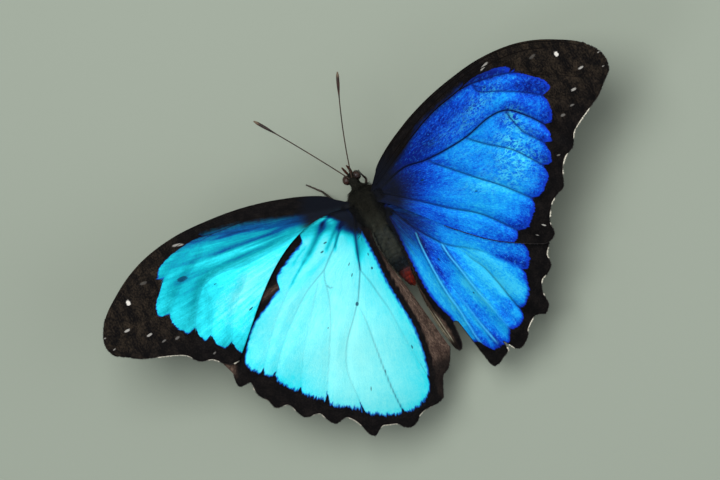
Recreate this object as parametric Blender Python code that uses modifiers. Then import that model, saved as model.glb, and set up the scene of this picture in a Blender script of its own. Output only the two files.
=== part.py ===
"""A blue morpho butterfly standing with its wings held open, as solids at life size.

Metres, +Z up. The head points to -Y and the butterfly's right side is -X. The origin is on the
ground under the middle of the bounding box. Wings are described by their reach from the wing's
own root at angles measured forward from straight out, then bent onto a gently arched surface.
"""

import math

import bmesh
import bpy
import numpy as np
from mathutils import Matrix, Vector

MM = 0.001

# Body, in millimetres, measured from a point on the ground under the thorax.
THORAX_HEIGHT = 14.0
THORAX_LENGTH = 11.2
THORAX_WIDTH = 7.6
THORAX_DEPTH = 7.8
HEAD_Y = -7.75
HEAD_RADII = (1.75, 1.5, 1.75)
EYE_RADIUS = 1.25
EYE_OUT = 1.45
PART_GAP = 0.32

ABDOMEN_START = THORAX_LENGTH / 2 + PART_GAP
ABDOMEN_LENGTH = 17.2
ABDOMEN_RADIUS = 2.95
ABDOMEN_PIECES = 3
ABDOMEN_DROOP = math.radians(3.0)

# Wings.
WING_ROOT_OUT = 3.2
WING_ROOT_Y = -1.0
WING_ROOT_UP = 2.0
HINDWING_SETBACK = 4.0
WING_THICKNESS = 0.55
WING_SPLIT = 0.62
ROOT_REACH = 1.3
DIHEDRAL = {"right": math.radians(11.0), "left": math.radians(12.0)}
SPAN_ARCH = 1.2
ARCH_SPAN = 90.0
REAR_DROOP = 2.0
REAR_REACH = 50.0
FRONT_DROOP = 0.9
FRONT_REACH = 16.0
# The wing's grid. Most of its rays end on the scalloped margin, which takes the first part of
# the turn from the inner edge to the costa.
RAYS = 64
RINGS = 4
MARGIN_RAYS = 0.8
MARGIN_SHARE = 0.62

# Margins as (degrees forward of straight out, reach in millimetres).
FOREWING_COSTA = (
    (0.8, 70.7), (5.3, 68.4), (10.1, 62.8), (15.6, 55.2), (21.1, 45.4), (25.7, 36.0),
    (30.1, 28.4), (33.8, 22.9), (39.0, 16.8), (46.0, 11.5), (55.0, 7.0),
)
FOREWING_OUTER = (
    (-20.5, 50.0), (-17.0, 51.3), (-14.6, 54.0), (-11.4, 55.3), (-9.6, 57.2), (-6.8, 61.8),
    (-5.4, 64.5), (-3.0, 67.8), (-1.2, 70.2),
)
RIGHT_TORNUS = (
    (-49.6, 19.5), (-48.2, 30.0), (-45.6, 38.0), (-42.4, 46.0), (-39.5, 47.3), (-35.4, 45.8),
    (-31.2, 46.0), (-27.3, 47.7), (-25.0, 49.6),
)
LEFT_TORNUS = ((-23.0, 47.4), (-21.8, 49.2))
FOREWING_EDGE = {
    "right": RIGHT_TORNUS + FOREWING_OUTER + FOREWING_COSTA,
    "left": LEFT_TORNUS + FOREWING_OUTER + FOREWING_COSTA,
}
HINDWING_COSTA = {
    "right": ((-29.0, 42.2), (-20.0, 42.0), (-12.0, 41.0), (0.0, 36.0), (12.0, 27.0), (22.0, 18.0),
              (35.0, 10.0), (50.0, 6.0)),
    "left": ((-23.2, 51.0), (-19.0, 49.4), (-13.0, 49.3), (-3.0, 44.0), (8.0, 34.0), (18.0, 24.0),
             (30.0, 14.0), (42.0, 9.0), (52.0, 6.0)),
}
HINDWING_OUTER = {
    "right": (
        (-102.0, 31.0), (-98.5, 35.5), (-95.0, 39.2), (-92.4, 39.9), (-90.8, 38.6), (-89.9, 35.5),
        (-89.2, 32.8), (-86.9, 33.2), (-86.2, 40.0), (-85.8, 46.6), (-85.0, 47.8), (-83.2, 47.8),
        (-81.2, 47.2), (-78.5, 46.8), (-77.5, 44.0), (-76.0, 47.6), (-74.6, 48.4), (-70.8, 47.8),
        (-68.4, 46.5), (-64.4, 46.0), (-62.4, 46.8), (-61.0, 48.2), (-58.9, 48.0), (-55.1, 44.8),
        (-51.8, 43.8), (-48.6, 44.7), (-46.4, 44.9), (-42.6, 43.2), (-38.2, 43.4), (-33.5, 42.0),
    ),
    "left": (
        (-95.4, 38.0), (-94.2, 39.3), (-92.3, 41.1), (-90.4, 42.5), (-88.4, 43.1), (-86.4, 45.7),
        (-84.8, 48.4), (-82.8, 49.0), (-79.9, 49.2), (-77.0, 50.2), (-75.6, 51.7), (-73.6, 52.6),
        (-72.0, 52.2), (-69.8, 51.0), (-66.4, 50.9), (-65.0, 51.8), (-63.6, 53.4), (-62.2, 52.8),
        (-60.4, 51.0), (-57.6, 49.2), (-55.6, 48.7), (-52.6, 50.6), (-50.4, 50.0), (-47.6, 48.8),
        (-43.6, 50.6), (-41.0, 49.8), (-38.4, 48.9), (-34.9, 50.9), (-32.0, 50.1), (-29.6, 50.2),
        (-27.6, 49.6), (-25.2, 48.5),
    ),
}

# The torn inner edge of the left forewing swings forward near the root, by so many degrees.
LEFT_FOREWING_SWING = (15.0, 37.0)
# The hindwing's inner strip gives way to the abdomen over this reach.
STRIP_SWING = {"right": 17.0, "left": 9.0}
STRIP_CLEAR = {"right": (12.0, 27.0), "left": (9.5, 22.0)}
# The right hindwing's inner strip is folded down.
FOLD_OUT = {"right": -2.0, "left": -9.0}
FOLD_ANGLE = math.radians(48.0)

# Legs as joints (out, along Y, height): base, knee, ankle, start of the foot, toe.
MIDDLE_LEG = ((2.0, -1.2, 9.6), (7.6, -4.4, 9.4), (10.6, -8.0, 1.9), (11.3, -8.9, 0.2), (14.2, -12.6, 0.2))
HIND_LEG = ((2.0, 2.9, 9.5), (7.4, 9.2, 9.6), (11.2, 15.6, 2.0), (11.9, 16.8, 0.2), (14.6, 22.0, 0.2))
FORE_LEG = ((1.2, -4.0, 10.0), (2.1, -6.0, 9.3), (1.9, -7.4, 10.6), (1.7, -8.2, 10.4), (1.5, -9.0, 10.1))
LEG_RADII = (0.55, 0.42, 0.34, 0.32, 0.28)
LEG_SWELL = 0.12
FORE_LEG_SCALE = 0.8
LEG_STEPS = 3
ANTENNA_LENGTH = 28.0
ANTENNA_RADIUS = 0.27
ANTENNA_STEPS = 18
CLUB_RADIUS = 0.5
CLUB_START = 0.72
CLUB_TIP_RADIUS = 0.3
TONGUE_RADIUS = 0.25
TONGUE_COIL = (1.4, 0.45)
TONGUE_DROP = 2.65
TONGUE_AHEAD = 2.3
TONGUE_STEPS = 24
PALP_RADII = (0.3, 0.42, 0.42, 0.36, 0.26)

COLOURS = {
    "wing_blue": ((0.01, 0.16, 0.75, 1.0), 0.35, 0.3),
    "body_fur": ((0.035, 0.028, 0.02, 1.0), 0.85, 0.0),
    "eye": ((0.05, 0.025, 0.015, 1.0), 0.15, 0.0),
    "leg": ((0.04, 0.025, 0.018, 1.0), 0.5, 0.0),
}


def material(name):
    """A plain finish by name, made once."""
    found = bpy.data.materials.get(name)
    if found:
        return found
    made = bpy.data.materials.new(name)
    made.use_nodes = True
    shader = made.node_tree.nodes["Principled BSDF"]
    colour, roughness, metallic = COLOURS[name]
    shader.inputs["Base Color"].default_value = colour
    shader.inputs["Roughness"].default_value = roughness
    shader.inputs["Metallic"].default_value = metallic
    return made


def place(x, y, z):
    """A point in metres from one in millimetres."""
    return Vector((x * MM, y * MM, z * MM))


def monotone(points, at):
    """A smooth curve through the points that never swings past them: cubic pieces whose slope at
    a point is the harmonic mean of its neighbours' slopes, or flat at a peak or a dip."""
    x, y = np.array(points).T
    order = np.argsort(x)
    x, y = x[order], y[order]
    step = np.diff(y) / np.diff(x)
    before, after = step[:-1], step[1:]
    same = before * after > 0
    middle = np.where(same, 2 * before * after / np.where(same, before + after, 1), 0)
    slope = np.concatenate([step[:1], middle, step[-1:]])
    at = np.clip(at, x[0], x[-1])
    i = np.clip(np.searchsorted(x, at) - 1, 0, len(x) - 2)
    width = x[i + 1] - x[i]
    q = (at - x[i]) / width
    return (
        (1 + 2 * q) * (1 - q) ** 2 * y[i]
        + q * (1 - q) ** 2 * width * slope[i]
        + q * q * (3 - 2 * q) * y[i + 1]
        + q * q * (q - 1) * width * slope[i + 1]
    )


def ease(q):
    """0 to 1 with level ends."""
    q = np.clip(q, 0, 1)
    return q * q * (3 - 2 * q)


def flat_wing(side, hind, s, t):
    """The wing laid flat: s runs from the inner edge (0) to the costa (1), t from root to margin.
    Returns distance out and distance forward of the forewing's root, in millimetres."""
    if hind:
        edge = HINDWING_OUTER[side] + HINDWING_COSTA[side]
    else:
        edge = FOREWING_EDGE[side]
    angles = [angle for angle, _ in edge]
    angle = min(angles) + s * (max(angles) - min(angles))
    reach = ROOT_REACH + t * (monotone(edge, angle) - ROOT_REACH)
    inner = 1 - s
    if hind:
        near, far = STRIP_CLEAR[side]
        clear = 1 - ease((reach - near) / (far - near))
        angle = angle + STRIP_SWING[side] * clear * inner**4
    elif side == "left":
        first, second = LEFT_FOREWING_SWING
        angle = angle + inner * (first * (1 - t) + second * (1 - t) ** 2)
    radians = np.radians(angle)
    back = HINDWING_SETBACK if hind else 0
    return reach * np.cos(radians), reach * np.sin(radians) - back


def bent_wing(side, hind, out, fore):
    """The flat wing's points raised by the dihedral, arched along the span, drooping at the rear
    and the costa, and folded down where the inner strip turns under."""
    lift = WING_SPLIT * (-1 if hind else 1)
    lift = lift + SPAN_ARCH * np.sin(np.pi * np.clip(out, 0, ARCH_SPAN) / ARCH_SPAN)
    lift = lift - REAR_DROOP * (np.clip(-fore, 0, None) / REAR_REACH) ** 2
    lift = lift - FRONT_DROOP * (np.clip(fore, 0, None) / FRONT_REACH) ** 2
    folded = np.clip(FOLD_OUT[side] - out, 0, None) * (1 if hind else 0)
    out = out + folded * (1 - math.cos(FOLD_ANGLE))
    lift = lift - folded * math.sin(FOLD_ANGLE)
    tilt = DIHEDRAL[side]
    sign = -1 if side == "right" else 1
    x = sign * (WING_ROOT_OUT + out * math.cos(tilt) - lift * math.sin(tilt))
    z = THORAX_HEIGHT + WING_ROOT_UP + out * math.sin(tilt) + lift * math.cos(tilt)
    return x, WING_ROOT_Y - fore, z


def make_wing(name, side, hind):
    """A grid whose rows run from the root to the margin, bent into a wing and given thickness."""
    mesh = bpy.data.meshes.new(name)
    grid = bmesh.new()
    bmesh.ops.create_grid(grid, x_segments=RAYS, y_segments=RINGS, size=0.5)
    flat = np.array([vertex.co[:2] for vertex in grid.verts]) + 0.5
    across = np.interp(flat[:, 0], (0, MARGIN_RAYS, 1), (0, MARGIN_SHARE, 1))
    out, fore = flat_wing(side, hind, across, flat[:, 1])
    for vertex, x, y, z in zip(grid.verts, *bent_wing(side, hind, out, fore)):
        vertex.co = place(x, y, z)
    bmesh.ops.recalc_face_normals(grid, faces=grid.faces)
    grid.to_mesh(mesh)
    grid.free()
    wing = bpy.data.objects.new(name, mesh)
    shell = wing.modifiers.new("Membrane", "SOLIDIFY")
    shell.thickness = WING_THICKNESS * MM
    shell.offset = 0
    add(wing, "wing_blue")


def add(piece, finish):
    """Link a finished object and give it its finish."""
    butterfly.objects.link(piece)
    piece.data.materials.append(material(finish))
    if piece.type == "MESH":
        piece.data.shade_smooth()


def add_ball(name, centre, radii, finish, segments=16, rings=10):
    """An ellipsoid with its long axis along Y."""
    mesh = bpy.data.meshes.new(name)
    ball = bmesh.new()
    bmesh.ops.create_uvsphere(ball, u_segments=segments, v_segments=rings, radius=MM)
    turn = Matrix.Rotation(math.pi / 2, 4, "X")
    bmesh.ops.transform(ball, matrix=Matrix.Diagonal((*radii, 1)) @ turn, verts=ball.verts)
    ball.to_mesh(mesh)
    ball.free()
    piece = bpy.data.objects.new(name, mesh)
    piece.location = place(*centre)
    add(piece, finish)
    return piece


def abdomen_radius(q):
    """Half the abdomen's width at the share q of its length: a narrow waist, fullest at a third,
    tapering to a blunt tip."""
    return ABDOMEN_RADIUS * math.sin(math.pi * (0.2 + 0.74 * q)) ** 0.75


def add_abdomen_piece(index):
    """One length of the abdomen, turned about its axis and tipped down a little more than the
    last."""
    start = index / ABDOMEN_PIECES
    stop = (index + 1) / ABDOMEN_PIECES
    length = ABDOMEN_LENGTH / ABDOMEN_PIECES - PART_GAP
    rows = 5
    steps = [start + (stop - start) * i / rows for i in range(rows + 1)]
    profile = [(0.0, 0.0)]
    profile += [(abdomen_radius(q), -length * i / rows) for i, q in enumerate(steps)]
    if index == ABDOMEN_PIECES - 1:
        profile.append((0.5 * abdomen_radius(1), -length - 0.45))
        profile.append((0.0, -length - 0.6))
    else:
        profile.append((0.0, -length))
    mesh = bpy.data.meshes.new(f"abdomen_{index + 1}")
    points = [(radius * MM, 0.0, z * MM) for radius, z in profile]
    mesh.from_pydata(points, [(i, i + 1) for i in range(len(points) - 1)], [])
    piece = bpy.data.objects.new(f"abdomen_{index + 1}", mesh)
    turn = piece.modifiers.new("Turned", "SCREW")
    turn.steps = turn.render_steps = 16
    turn.use_merge_vertices = True
    turn.merge_threshold = 1e-6
    droop = ABDOMEN_DROOP * index
    y = ABDOMEN_START + ABDOMEN_LENGTH / ABDOMEN_PIECES * index
    z = THORAX_HEIGHT - 0.15 * index * index
    piece.location = place(0, y, z)
    piece.rotation_euler = (math.pi / 2 - droop, 0, 0)
    add(piece, "body_fur")


def tube(name, points, radii, finish, floor=False, sides=2):
    """A tube of changing thickness through the points. On the ground its underside is flat."""
    curve = bpy.data.curves.new(name, "CURVE")
    curve.dimensions = "3D"
    curve.bevel_depth = MM
    curve.bevel_resolution = sides
    curve.use_fill_caps = True
    curve.render_resolution_u = 0
    line = curve.splines.new("POLY")
    line.points.add(len(points) - 1)
    for knot, point, radius in zip(line.points, points, radii):
        knot.co = (*place(*point), 1)
        knot.radius = radius
    guide = bpy.data.objects.new(name, curve)
    bpy.context.scene.collection.objects.link(guide)
    graph = bpy.context.evaluated_depsgraph_get()
    mesh = bpy.data.meshes.new_from_object(guide.evaluated_get(graph))
    bpy.data.objects.remove(guide)
    weld = bmesh.new()
    weld.from_mesh(mesh)
    bmesh.ops.remove_doubles(weld, verts=weld.verts, dist=1e-6)
    if floor:
        for vertex in weld.verts:
            vertex.co.z = max(vertex.co.z, 0)
    bmesh.ops.recalc_face_normals(weld, faces=weld.faces)
    weld.to_mesh(mesh)
    weld.free()
    mesh.name = name
    mesh.materials.clear()
    add(bpy.data.objects.new(name, mesh), finish)


def add_leg(name, side, joints, scale=1.0):
    """A leg through its joints, swelling a little along the femur, with the foot flat below."""
    sign = -1 if side == "right" else 1
    points, radii = [], []
    for i in range(len(joints) - 1):
        for j in range(LEG_STEPS):
            q = j / LEG_STEPS
            a, b = Vector(joints[i]), Vector(joints[i + 1])
            point = a.lerp(b, q)
            points.append((sign * point.x, point.y, point.z))
            swell = LEG_SWELL * math.sin(math.pi * q) if i == 0 else 0.0
            radii.append(scale * (LEG_RADII[i] * (1 - q) + LEG_RADII[i + 1] * q + swell))
    last = joints[-1]
    points.append((sign * last[0], last[1], last[2]))
    radii.append(scale * LEG_RADII[-1])
    tube(name, points, radii, "leg", floor=True)


def add_antenna(side):
    """A slender rod that rises forward and outward in an arc and ends in a long club."""
    sign = -1 if side == "right" else 1
    points, radii = [], []
    for i in range(ANTENNA_STEPS + 1):
        q = i / ANTENNA_STEPS
        along = ANTENNA_LENGTH * q
        out = 0.62 + 0.36 * along + 1.6 * q * q
        fore = HEAD_Y - 0.95 - 0.84 * along
        up = THORAX_HEIGHT + 2.05 + 0.42 * along - 3.4 * q * q
        points.append((sign * out, fore, up))
        club = float(ease((q - CLUB_START) / 0.2))
        radii.append(ANTENNA_RADIUS + (CLUB_RADIUS - ANTENNA_RADIUS) * club)
    radii[-1] = CLUB_TIP_RADIUS
    tube(f"antenna_{side}", points, radii, "leg")


def add_proboscis():
    """The tongue as a coil of a turn and a half below the palps."""
    widest, narrowest = TONGUE_COIL
    points = []
    for i in range(TONGUE_STEPS + 1):
        q = i / TONGUE_STEPS
        angle = math.radians(100 + 520 * q)
        radius = widest + (narrowest - widest) * q
        ahead = TONGUE_AHEAD + radius * math.cos(angle)
        points.append((0, HEAD_Y - ahead, THORAX_HEIGHT - TONGUE_DROP + radius * math.sin(angle)))
    tube("proboscis", points, [TONGUE_RADIUS] * len(points), "leg", sides=1)


def add_head():
    """The head with a hollow each side for its eye, the palps and the tongue."""
    head = add_ball("head", (0, HEAD_Y, THORAX_HEIGHT + 0.1), HEAD_RADII, "body_fur")
    for side, sign in (("right", -1), ("left", 1)):
        centre = (sign * EYE_OUT, HEAD_Y - 0.25, THORAX_HEIGHT + 0.25)
        add_ball(f"eye_{side}", centre, (EYE_RADIUS * 0.85, EYE_RADIUS, EYE_RADIUS * 1.1), "eye")
        room = EYE_RADIUS + PART_GAP
        cutter = add_ball(f"socket_{side}", centre, (room * 0.87, room, room * 1.08), "eye")
        butterfly.objects.unlink(cutter)
        cutters.objects.link(cutter)
        cutter.hide_render = True
        cutter.display_type = "WIRE"
        cut = head.modifiers.new(f"Socket {side}", "BOOLEAN")
        cut.object = cutter
        cut.operation = "DIFFERENCE"
        palp = []
        for i in range(len(PALP_RADII)):
            q = i / (len(PALP_RADII) - 1)
            up = THORAX_HEIGHT - 0.5 + 1.5 * q + 0.5 * q * q
            palp.append((sign * (0.55 + 0.1 * q), HEAD_Y - 1.75 - 1.7 * q, up))
        tube(f"palp_{side}", palp, PALP_RADII, "body_fur")
    add_proboscis()


def centre_over_origin():
    """Slide everything so that the middle of the bounding box stands over the origin."""
    graph = bpy.context.evaluated_depsgraph_get()
    corners = []
    for piece in butterfly.objects:
        whole = piece.evaluated_get(graph)
        corners += [whole.matrix_world @ Vector(corner) for corner in whole.bound_box]
    for axis in (0, 1):
        values = [corner[axis] for corner in corners]
        middle = (min(values) + max(values)) / 2
        for piece in (*butterfly.objects, *cutters.objects):
            piece.location[axis] -= middle


for old in list(bpy.data.objects):
    bpy.data.objects.remove(old)

butterfly = bpy.data.collections.new("blue_morpho_butterfly")
cutters = bpy.data.collections.new("cutters")
bpy.context.scene.collection.children.link(butterfly)
bpy.context.scene.collection.children.link(cutters)

add_ball(
    "thorax",
    (0, 0, THORAX_HEIGHT),
    (THORAX_WIDTH / 2, THORAX_LENGTH / 2, THORAX_DEPTH / 2),
    "body_fur",
    segments=20,
    rings=14,
)
for length in range(ABDOMEN_PIECES):
    add_abdomen_piece(length)
add_head()
for wing_side in ("right", "left"):
    make_wing(f"forewing_{wing_side}", wing_side, hind=False)
    make_wing(f"hindwing_{wing_side}", wing_side, hind=True)
    add_leg(f"foreleg_{wing_side}", wing_side, FORE_LEG, scale=FORE_LEG_SCALE)
    add_leg(f"middle_leg_{wing_side}", wing_side, MIDDLE_LEG)
    add_leg(f"hind_leg_{wing_side}", wing_side, HIND_LEG)
    add_antenna(wing_side)
centre_over_origin()
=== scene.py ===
"""Looks of a life-size blue morpho butterfly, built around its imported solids.

Shapes are worked out in millimetres, from a point on the ground under the thorax, with the head
towards -Y and the butterfly's right side towards -X. A wing is first laid flat: out is the
distance straight out from the forewing's root and fore the distance ahead of it.
"""

import math

import bpy
import numpy as np
from mathutils import Matrix, Vector


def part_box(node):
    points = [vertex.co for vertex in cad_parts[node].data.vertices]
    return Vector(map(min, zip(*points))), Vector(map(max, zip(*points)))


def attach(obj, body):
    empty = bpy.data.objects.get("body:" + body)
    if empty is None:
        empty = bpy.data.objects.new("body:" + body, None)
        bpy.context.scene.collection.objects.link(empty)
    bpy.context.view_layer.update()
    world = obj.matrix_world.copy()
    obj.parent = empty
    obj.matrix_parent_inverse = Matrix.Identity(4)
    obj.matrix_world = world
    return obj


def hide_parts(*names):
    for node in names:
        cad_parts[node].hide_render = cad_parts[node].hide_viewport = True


bl_info = {
    "name": "Blue Morpho Butterfly",
    "version": (1, 0, 0),
    "blender": (4, 5, 0),
    "location": "3D View > Sidebar > Butterfly",
    "description": "Wings, hairy body, eyes, legs and feelers of a life-size blue morpho",
    "category": "Add Mesh",
}

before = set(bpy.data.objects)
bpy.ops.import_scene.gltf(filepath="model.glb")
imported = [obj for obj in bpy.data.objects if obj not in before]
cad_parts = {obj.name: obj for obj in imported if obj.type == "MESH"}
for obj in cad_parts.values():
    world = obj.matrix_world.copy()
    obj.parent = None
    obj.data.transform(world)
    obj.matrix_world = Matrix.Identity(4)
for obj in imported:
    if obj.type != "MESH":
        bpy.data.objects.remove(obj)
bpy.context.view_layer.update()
MM = 0.001
SIDES = ("right", "left")
OUTWARD = {"right": -1, "left": 1}
KINDS = {False: "forewing", True: "hindwing"}
WINGS = tuple((side, hind) for side in SIDES for hind in KINDS)


def node_box(node):
    """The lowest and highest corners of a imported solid, in millimetres."""
    low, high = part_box(node)
    return np.array(low) / MM, np.array(high) / MM


# The body's own point on the ground and its landmarks, from the solids' places in the frame.
THORAX_LOW, THORAX_HIGH = node_box("thorax")
THORAX = (THORAX_LOW + THORAX_HIGH) / 2
GROUND = np.array([THORAX[0], THORAX[1], 0.0])
THORAX_HEIGHT = float(THORAX[2])
HEAD_LOW, HEAD_HIGH = (corner - GROUND for corner in node_box("head"))
HEAD = (HEAD_LOW + HEAD_HIGH) / 2
TAIL_Y = float((node_box("abdomen_3")[1] - GROUND)[1])
FACE_Y = HEAD[1] - 1.45
RUMP_Y = TAIL_Y - 0.35
BODY_AXIS = 14.0

# ---- The wings' plan, the same as the solids'

# The wings' root from the thorax's middle, and how a flat wing is bent: tilted by the dihedral,
# arched along the span, and drooping at the rear and the costa.
WING_ROOT_OUT = 3.2
WING_ROOT_Y = -1.0
WING_ROOT_UP = 2.0
HINDWING_SETBACK = 4.0
WING_SPLIT = 0.62
ROOT_REACH = 0.4
ROOT_TUCK = 1.3
TUCK_REACH = 7.0
DIHEDRAL = {"right": math.radians(11.0), "left": math.radians(12.0)}
SPAN_ARCH = 1.2
ARCH_SPAN = 90.0
REAR_DROOP = 2.0
REAR_REACH = 50.0
FRONT_DROOP = 0.9
FRONT_REACH = 16.0

# Margins as (degrees forward of straight out, reach in millimetres).
FOREWING_COSTA = (
    (0.8, 70.7), (5.3, 68.4), (10.1, 62.8), (15.6, 55.2), (21.1, 45.4), (25.7, 36), (30.1, 28.4),
    (33.8, 22.9), (39, 16.8), (46, 11.5), (55, 7),
)
FOREWING_OUTER = (
    (-20.5, 50), (-17, 51.3), (-14.6, 54), (-11.4, 55.3), (-9.6, 57.2), (-6.8, 61.8), (-5.4, 64.5),
    (-3, 67.8), (-1.2, 70.2),
)
RIGHT_TORNUS = (
    (-49.6, 19.5), (-48.2, 30), (-45.6, 38), (-42.4, 46), (-39.5, 47.3), (-35.4, 45.8), (-31.2, 46),
    (-27.3, 47.7), (-25, 49.6),
)
LEFT_TORNUS = ((-23, 47.4), (-21.8, 49.2))
FOREWING_EDGE = {
    "right": RIGHT_TORNUS + FOREWING_OUTER + FOREWING_COSTA,
    "left": LEFT_TORNUS + FOREWING_OUTER + FOREWING_COSTA,
}
HINDWING_COSTA = {
    "right": (
        (-29, 42.2), (-20, 42), (-12, 41), (0, 36), (12, 27), (22, 18), (35, 11), (50, 7.5), (72, 5),
        (98, 3.6),
    ),
    "left": (
        (-23.2, 51), (-19, 49.4), (-13, 49.3), (-3, 44), (8, 34), (18, 24), (30, 15.5), (42, 11.5),
        (52, 8.5), (72, 5.4), (98, 3.6),
    ),
}
HINDWING_OUTER = {
    "right": (
        (-102, 31), (-98.5, 35.5), (-95, 39.2), (-92.4, 39.9), (-90.8, 38.6), (-89.9, 35.5),
        (-89.2, 32.8), (-86.9, 33.2), (-86.2, 40), (-85.8, 46.6), (-85, 47.8), (-83.2, 47.8),
        (-81.2, 47.2), (-78.5, 46.8), (-77.5, 44), (-76, 47.6), (-74.6, 48.4), (-70.8, 47.8),
        (-68.4, 46.5), (-64.4, 46), (-62.4, 46.8), (-61, 48.2), (-58.9, 48), (-55.1, 44.8), (-51.8, 43.8),
        (-48.6, 44.7), (-46.4, 44.9), (-42.6, 43.2), (-38.2, 43.4), (-33.5, 42),
    ),
    "left": (
        (-95.4, 38), (-94.2, 39.3), (-92.3, 41.1), (-90.4, 42.5), (-88.4, 43.1), (-86.4, 45.7),
        (-84.8, 48.4), (-82.8, 49), (-79.9, 49.2), (-77, 50.2), (-75.6, 51.7), (-73.6, 52.6), (-72, 52.2),
        (-69.8, 51), (-66.4, 50.9), (-65, 51.8), (-63.6, 53.4), (-62.2, 52.8), (-60.4, 51), (-57.6, 49.2),
        (-55.6, 48.7), (-52.6, 50.6), (-50.4, 50), (-47.6, 48.8), (-43.6, 50.6), (-41, 49.8),
        (-38.4, 48.9), (-34.9, 50.9), (-32, 50.1), (-29.6, 50.2), (-27.6, 49.6), (-25.2, 48.5),
    ),
}
# Degrees that the torn left forewing's inner rays swing forward towards the root: in proportion to
# the way from the margin, and to its square.
LEFT_FOREWING_SWING = (15, 37)
# Degrees that a hindwing's inner strip keeps clear of the body, and the reaches where that fades.
STRIP_SWING = {"right": 6, "left": 1.5}
STRIP_CLEAR = {"right": (14, 24), "left": (11, 20)}
# Where the inner strip turns under, in millimetres out, and how steeply.
FOLD_OUT = {"right": -2, "left": -9}
FOLD_ANGLE = math.radians(48.0)

# ---- Veins and markings

# How far a vein's pleat reaches to its sides.
PLEAT_WIDTH = 1.3
# A vein as (half width, height of its pleat, points out and forward), from root to margin.
FOREWING_VEINS = {
    "costa": (0.34, 0.1, (
        (-0.6, 1), (2.4, 3.8), (6.5, 7.2), (12.8, 9.9), (24.4, 13.6), (42, 15.8), (53, 14.4),
        (61.5, 10.6), (68, 5.6),
    )),
    "subcosta": (0.3, 0.1, ((2, 3.4), (12, 7.6), (24, 12), (36, 14.4), (46, 15))),
    "radius": (0.32, -0.16, (
        (2, 2.4), (12, 6.4), (24, 10.6), (33.5, 12.2), (41, 14), (52, 12.9), (61, 9.4),
    )),
    "last_radial": (0.19, -0.18, (
        (33.5, 12.2), (37.5, 12), (44.7, 10.5), (50.3, 8.3), (55, 5), (67, -2.6),
    )),
    "first_medial": (0.19, -0.18, (
        (37.6, 11.4), (38.3, 9.3), (42.7, 7.1), (47.7, 4.1), (52, 0.9), (58, -4.6),
    )),
    "second_medial": (0.3, -0.3, (
        (2, 0.9), (10.6, 2.6), (17.8, 1.4), (28.5, 1.3), (37, 2.7), (42, 2.1), (45.3, -0.8), (48.4, -5),
        (52.6, -12.4),
    )),
    "third_medial": (0.15, -0.1, ((41.7, 1.7), (42.6, -2.7), (43.4, -5), (46.4, -9.3), (49, -14.4))),
    "first_cubital": (0.18, -0.16, ((29.6, 0.8), (33.5, -2.9), (37.5, -6.2), (40.1, -9.3), (45, -17))),
    "second_cubital": (0.2, -0.22, (
        (17.4, 1), (21.2, -3), (26.8, -8.9), (30.5, -12.6), (34, -16.8), (39, -23.2),
    )),
    "anal": (0.24, -0.26, (
        (2.2, 0), (8.3, -5), (16, -11.6), (21.7, -16.1), (25.6, -20.5), (31.4, -28.6),
    )),
}
TORN_AWAY = ("second_cubital", "anal")
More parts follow.
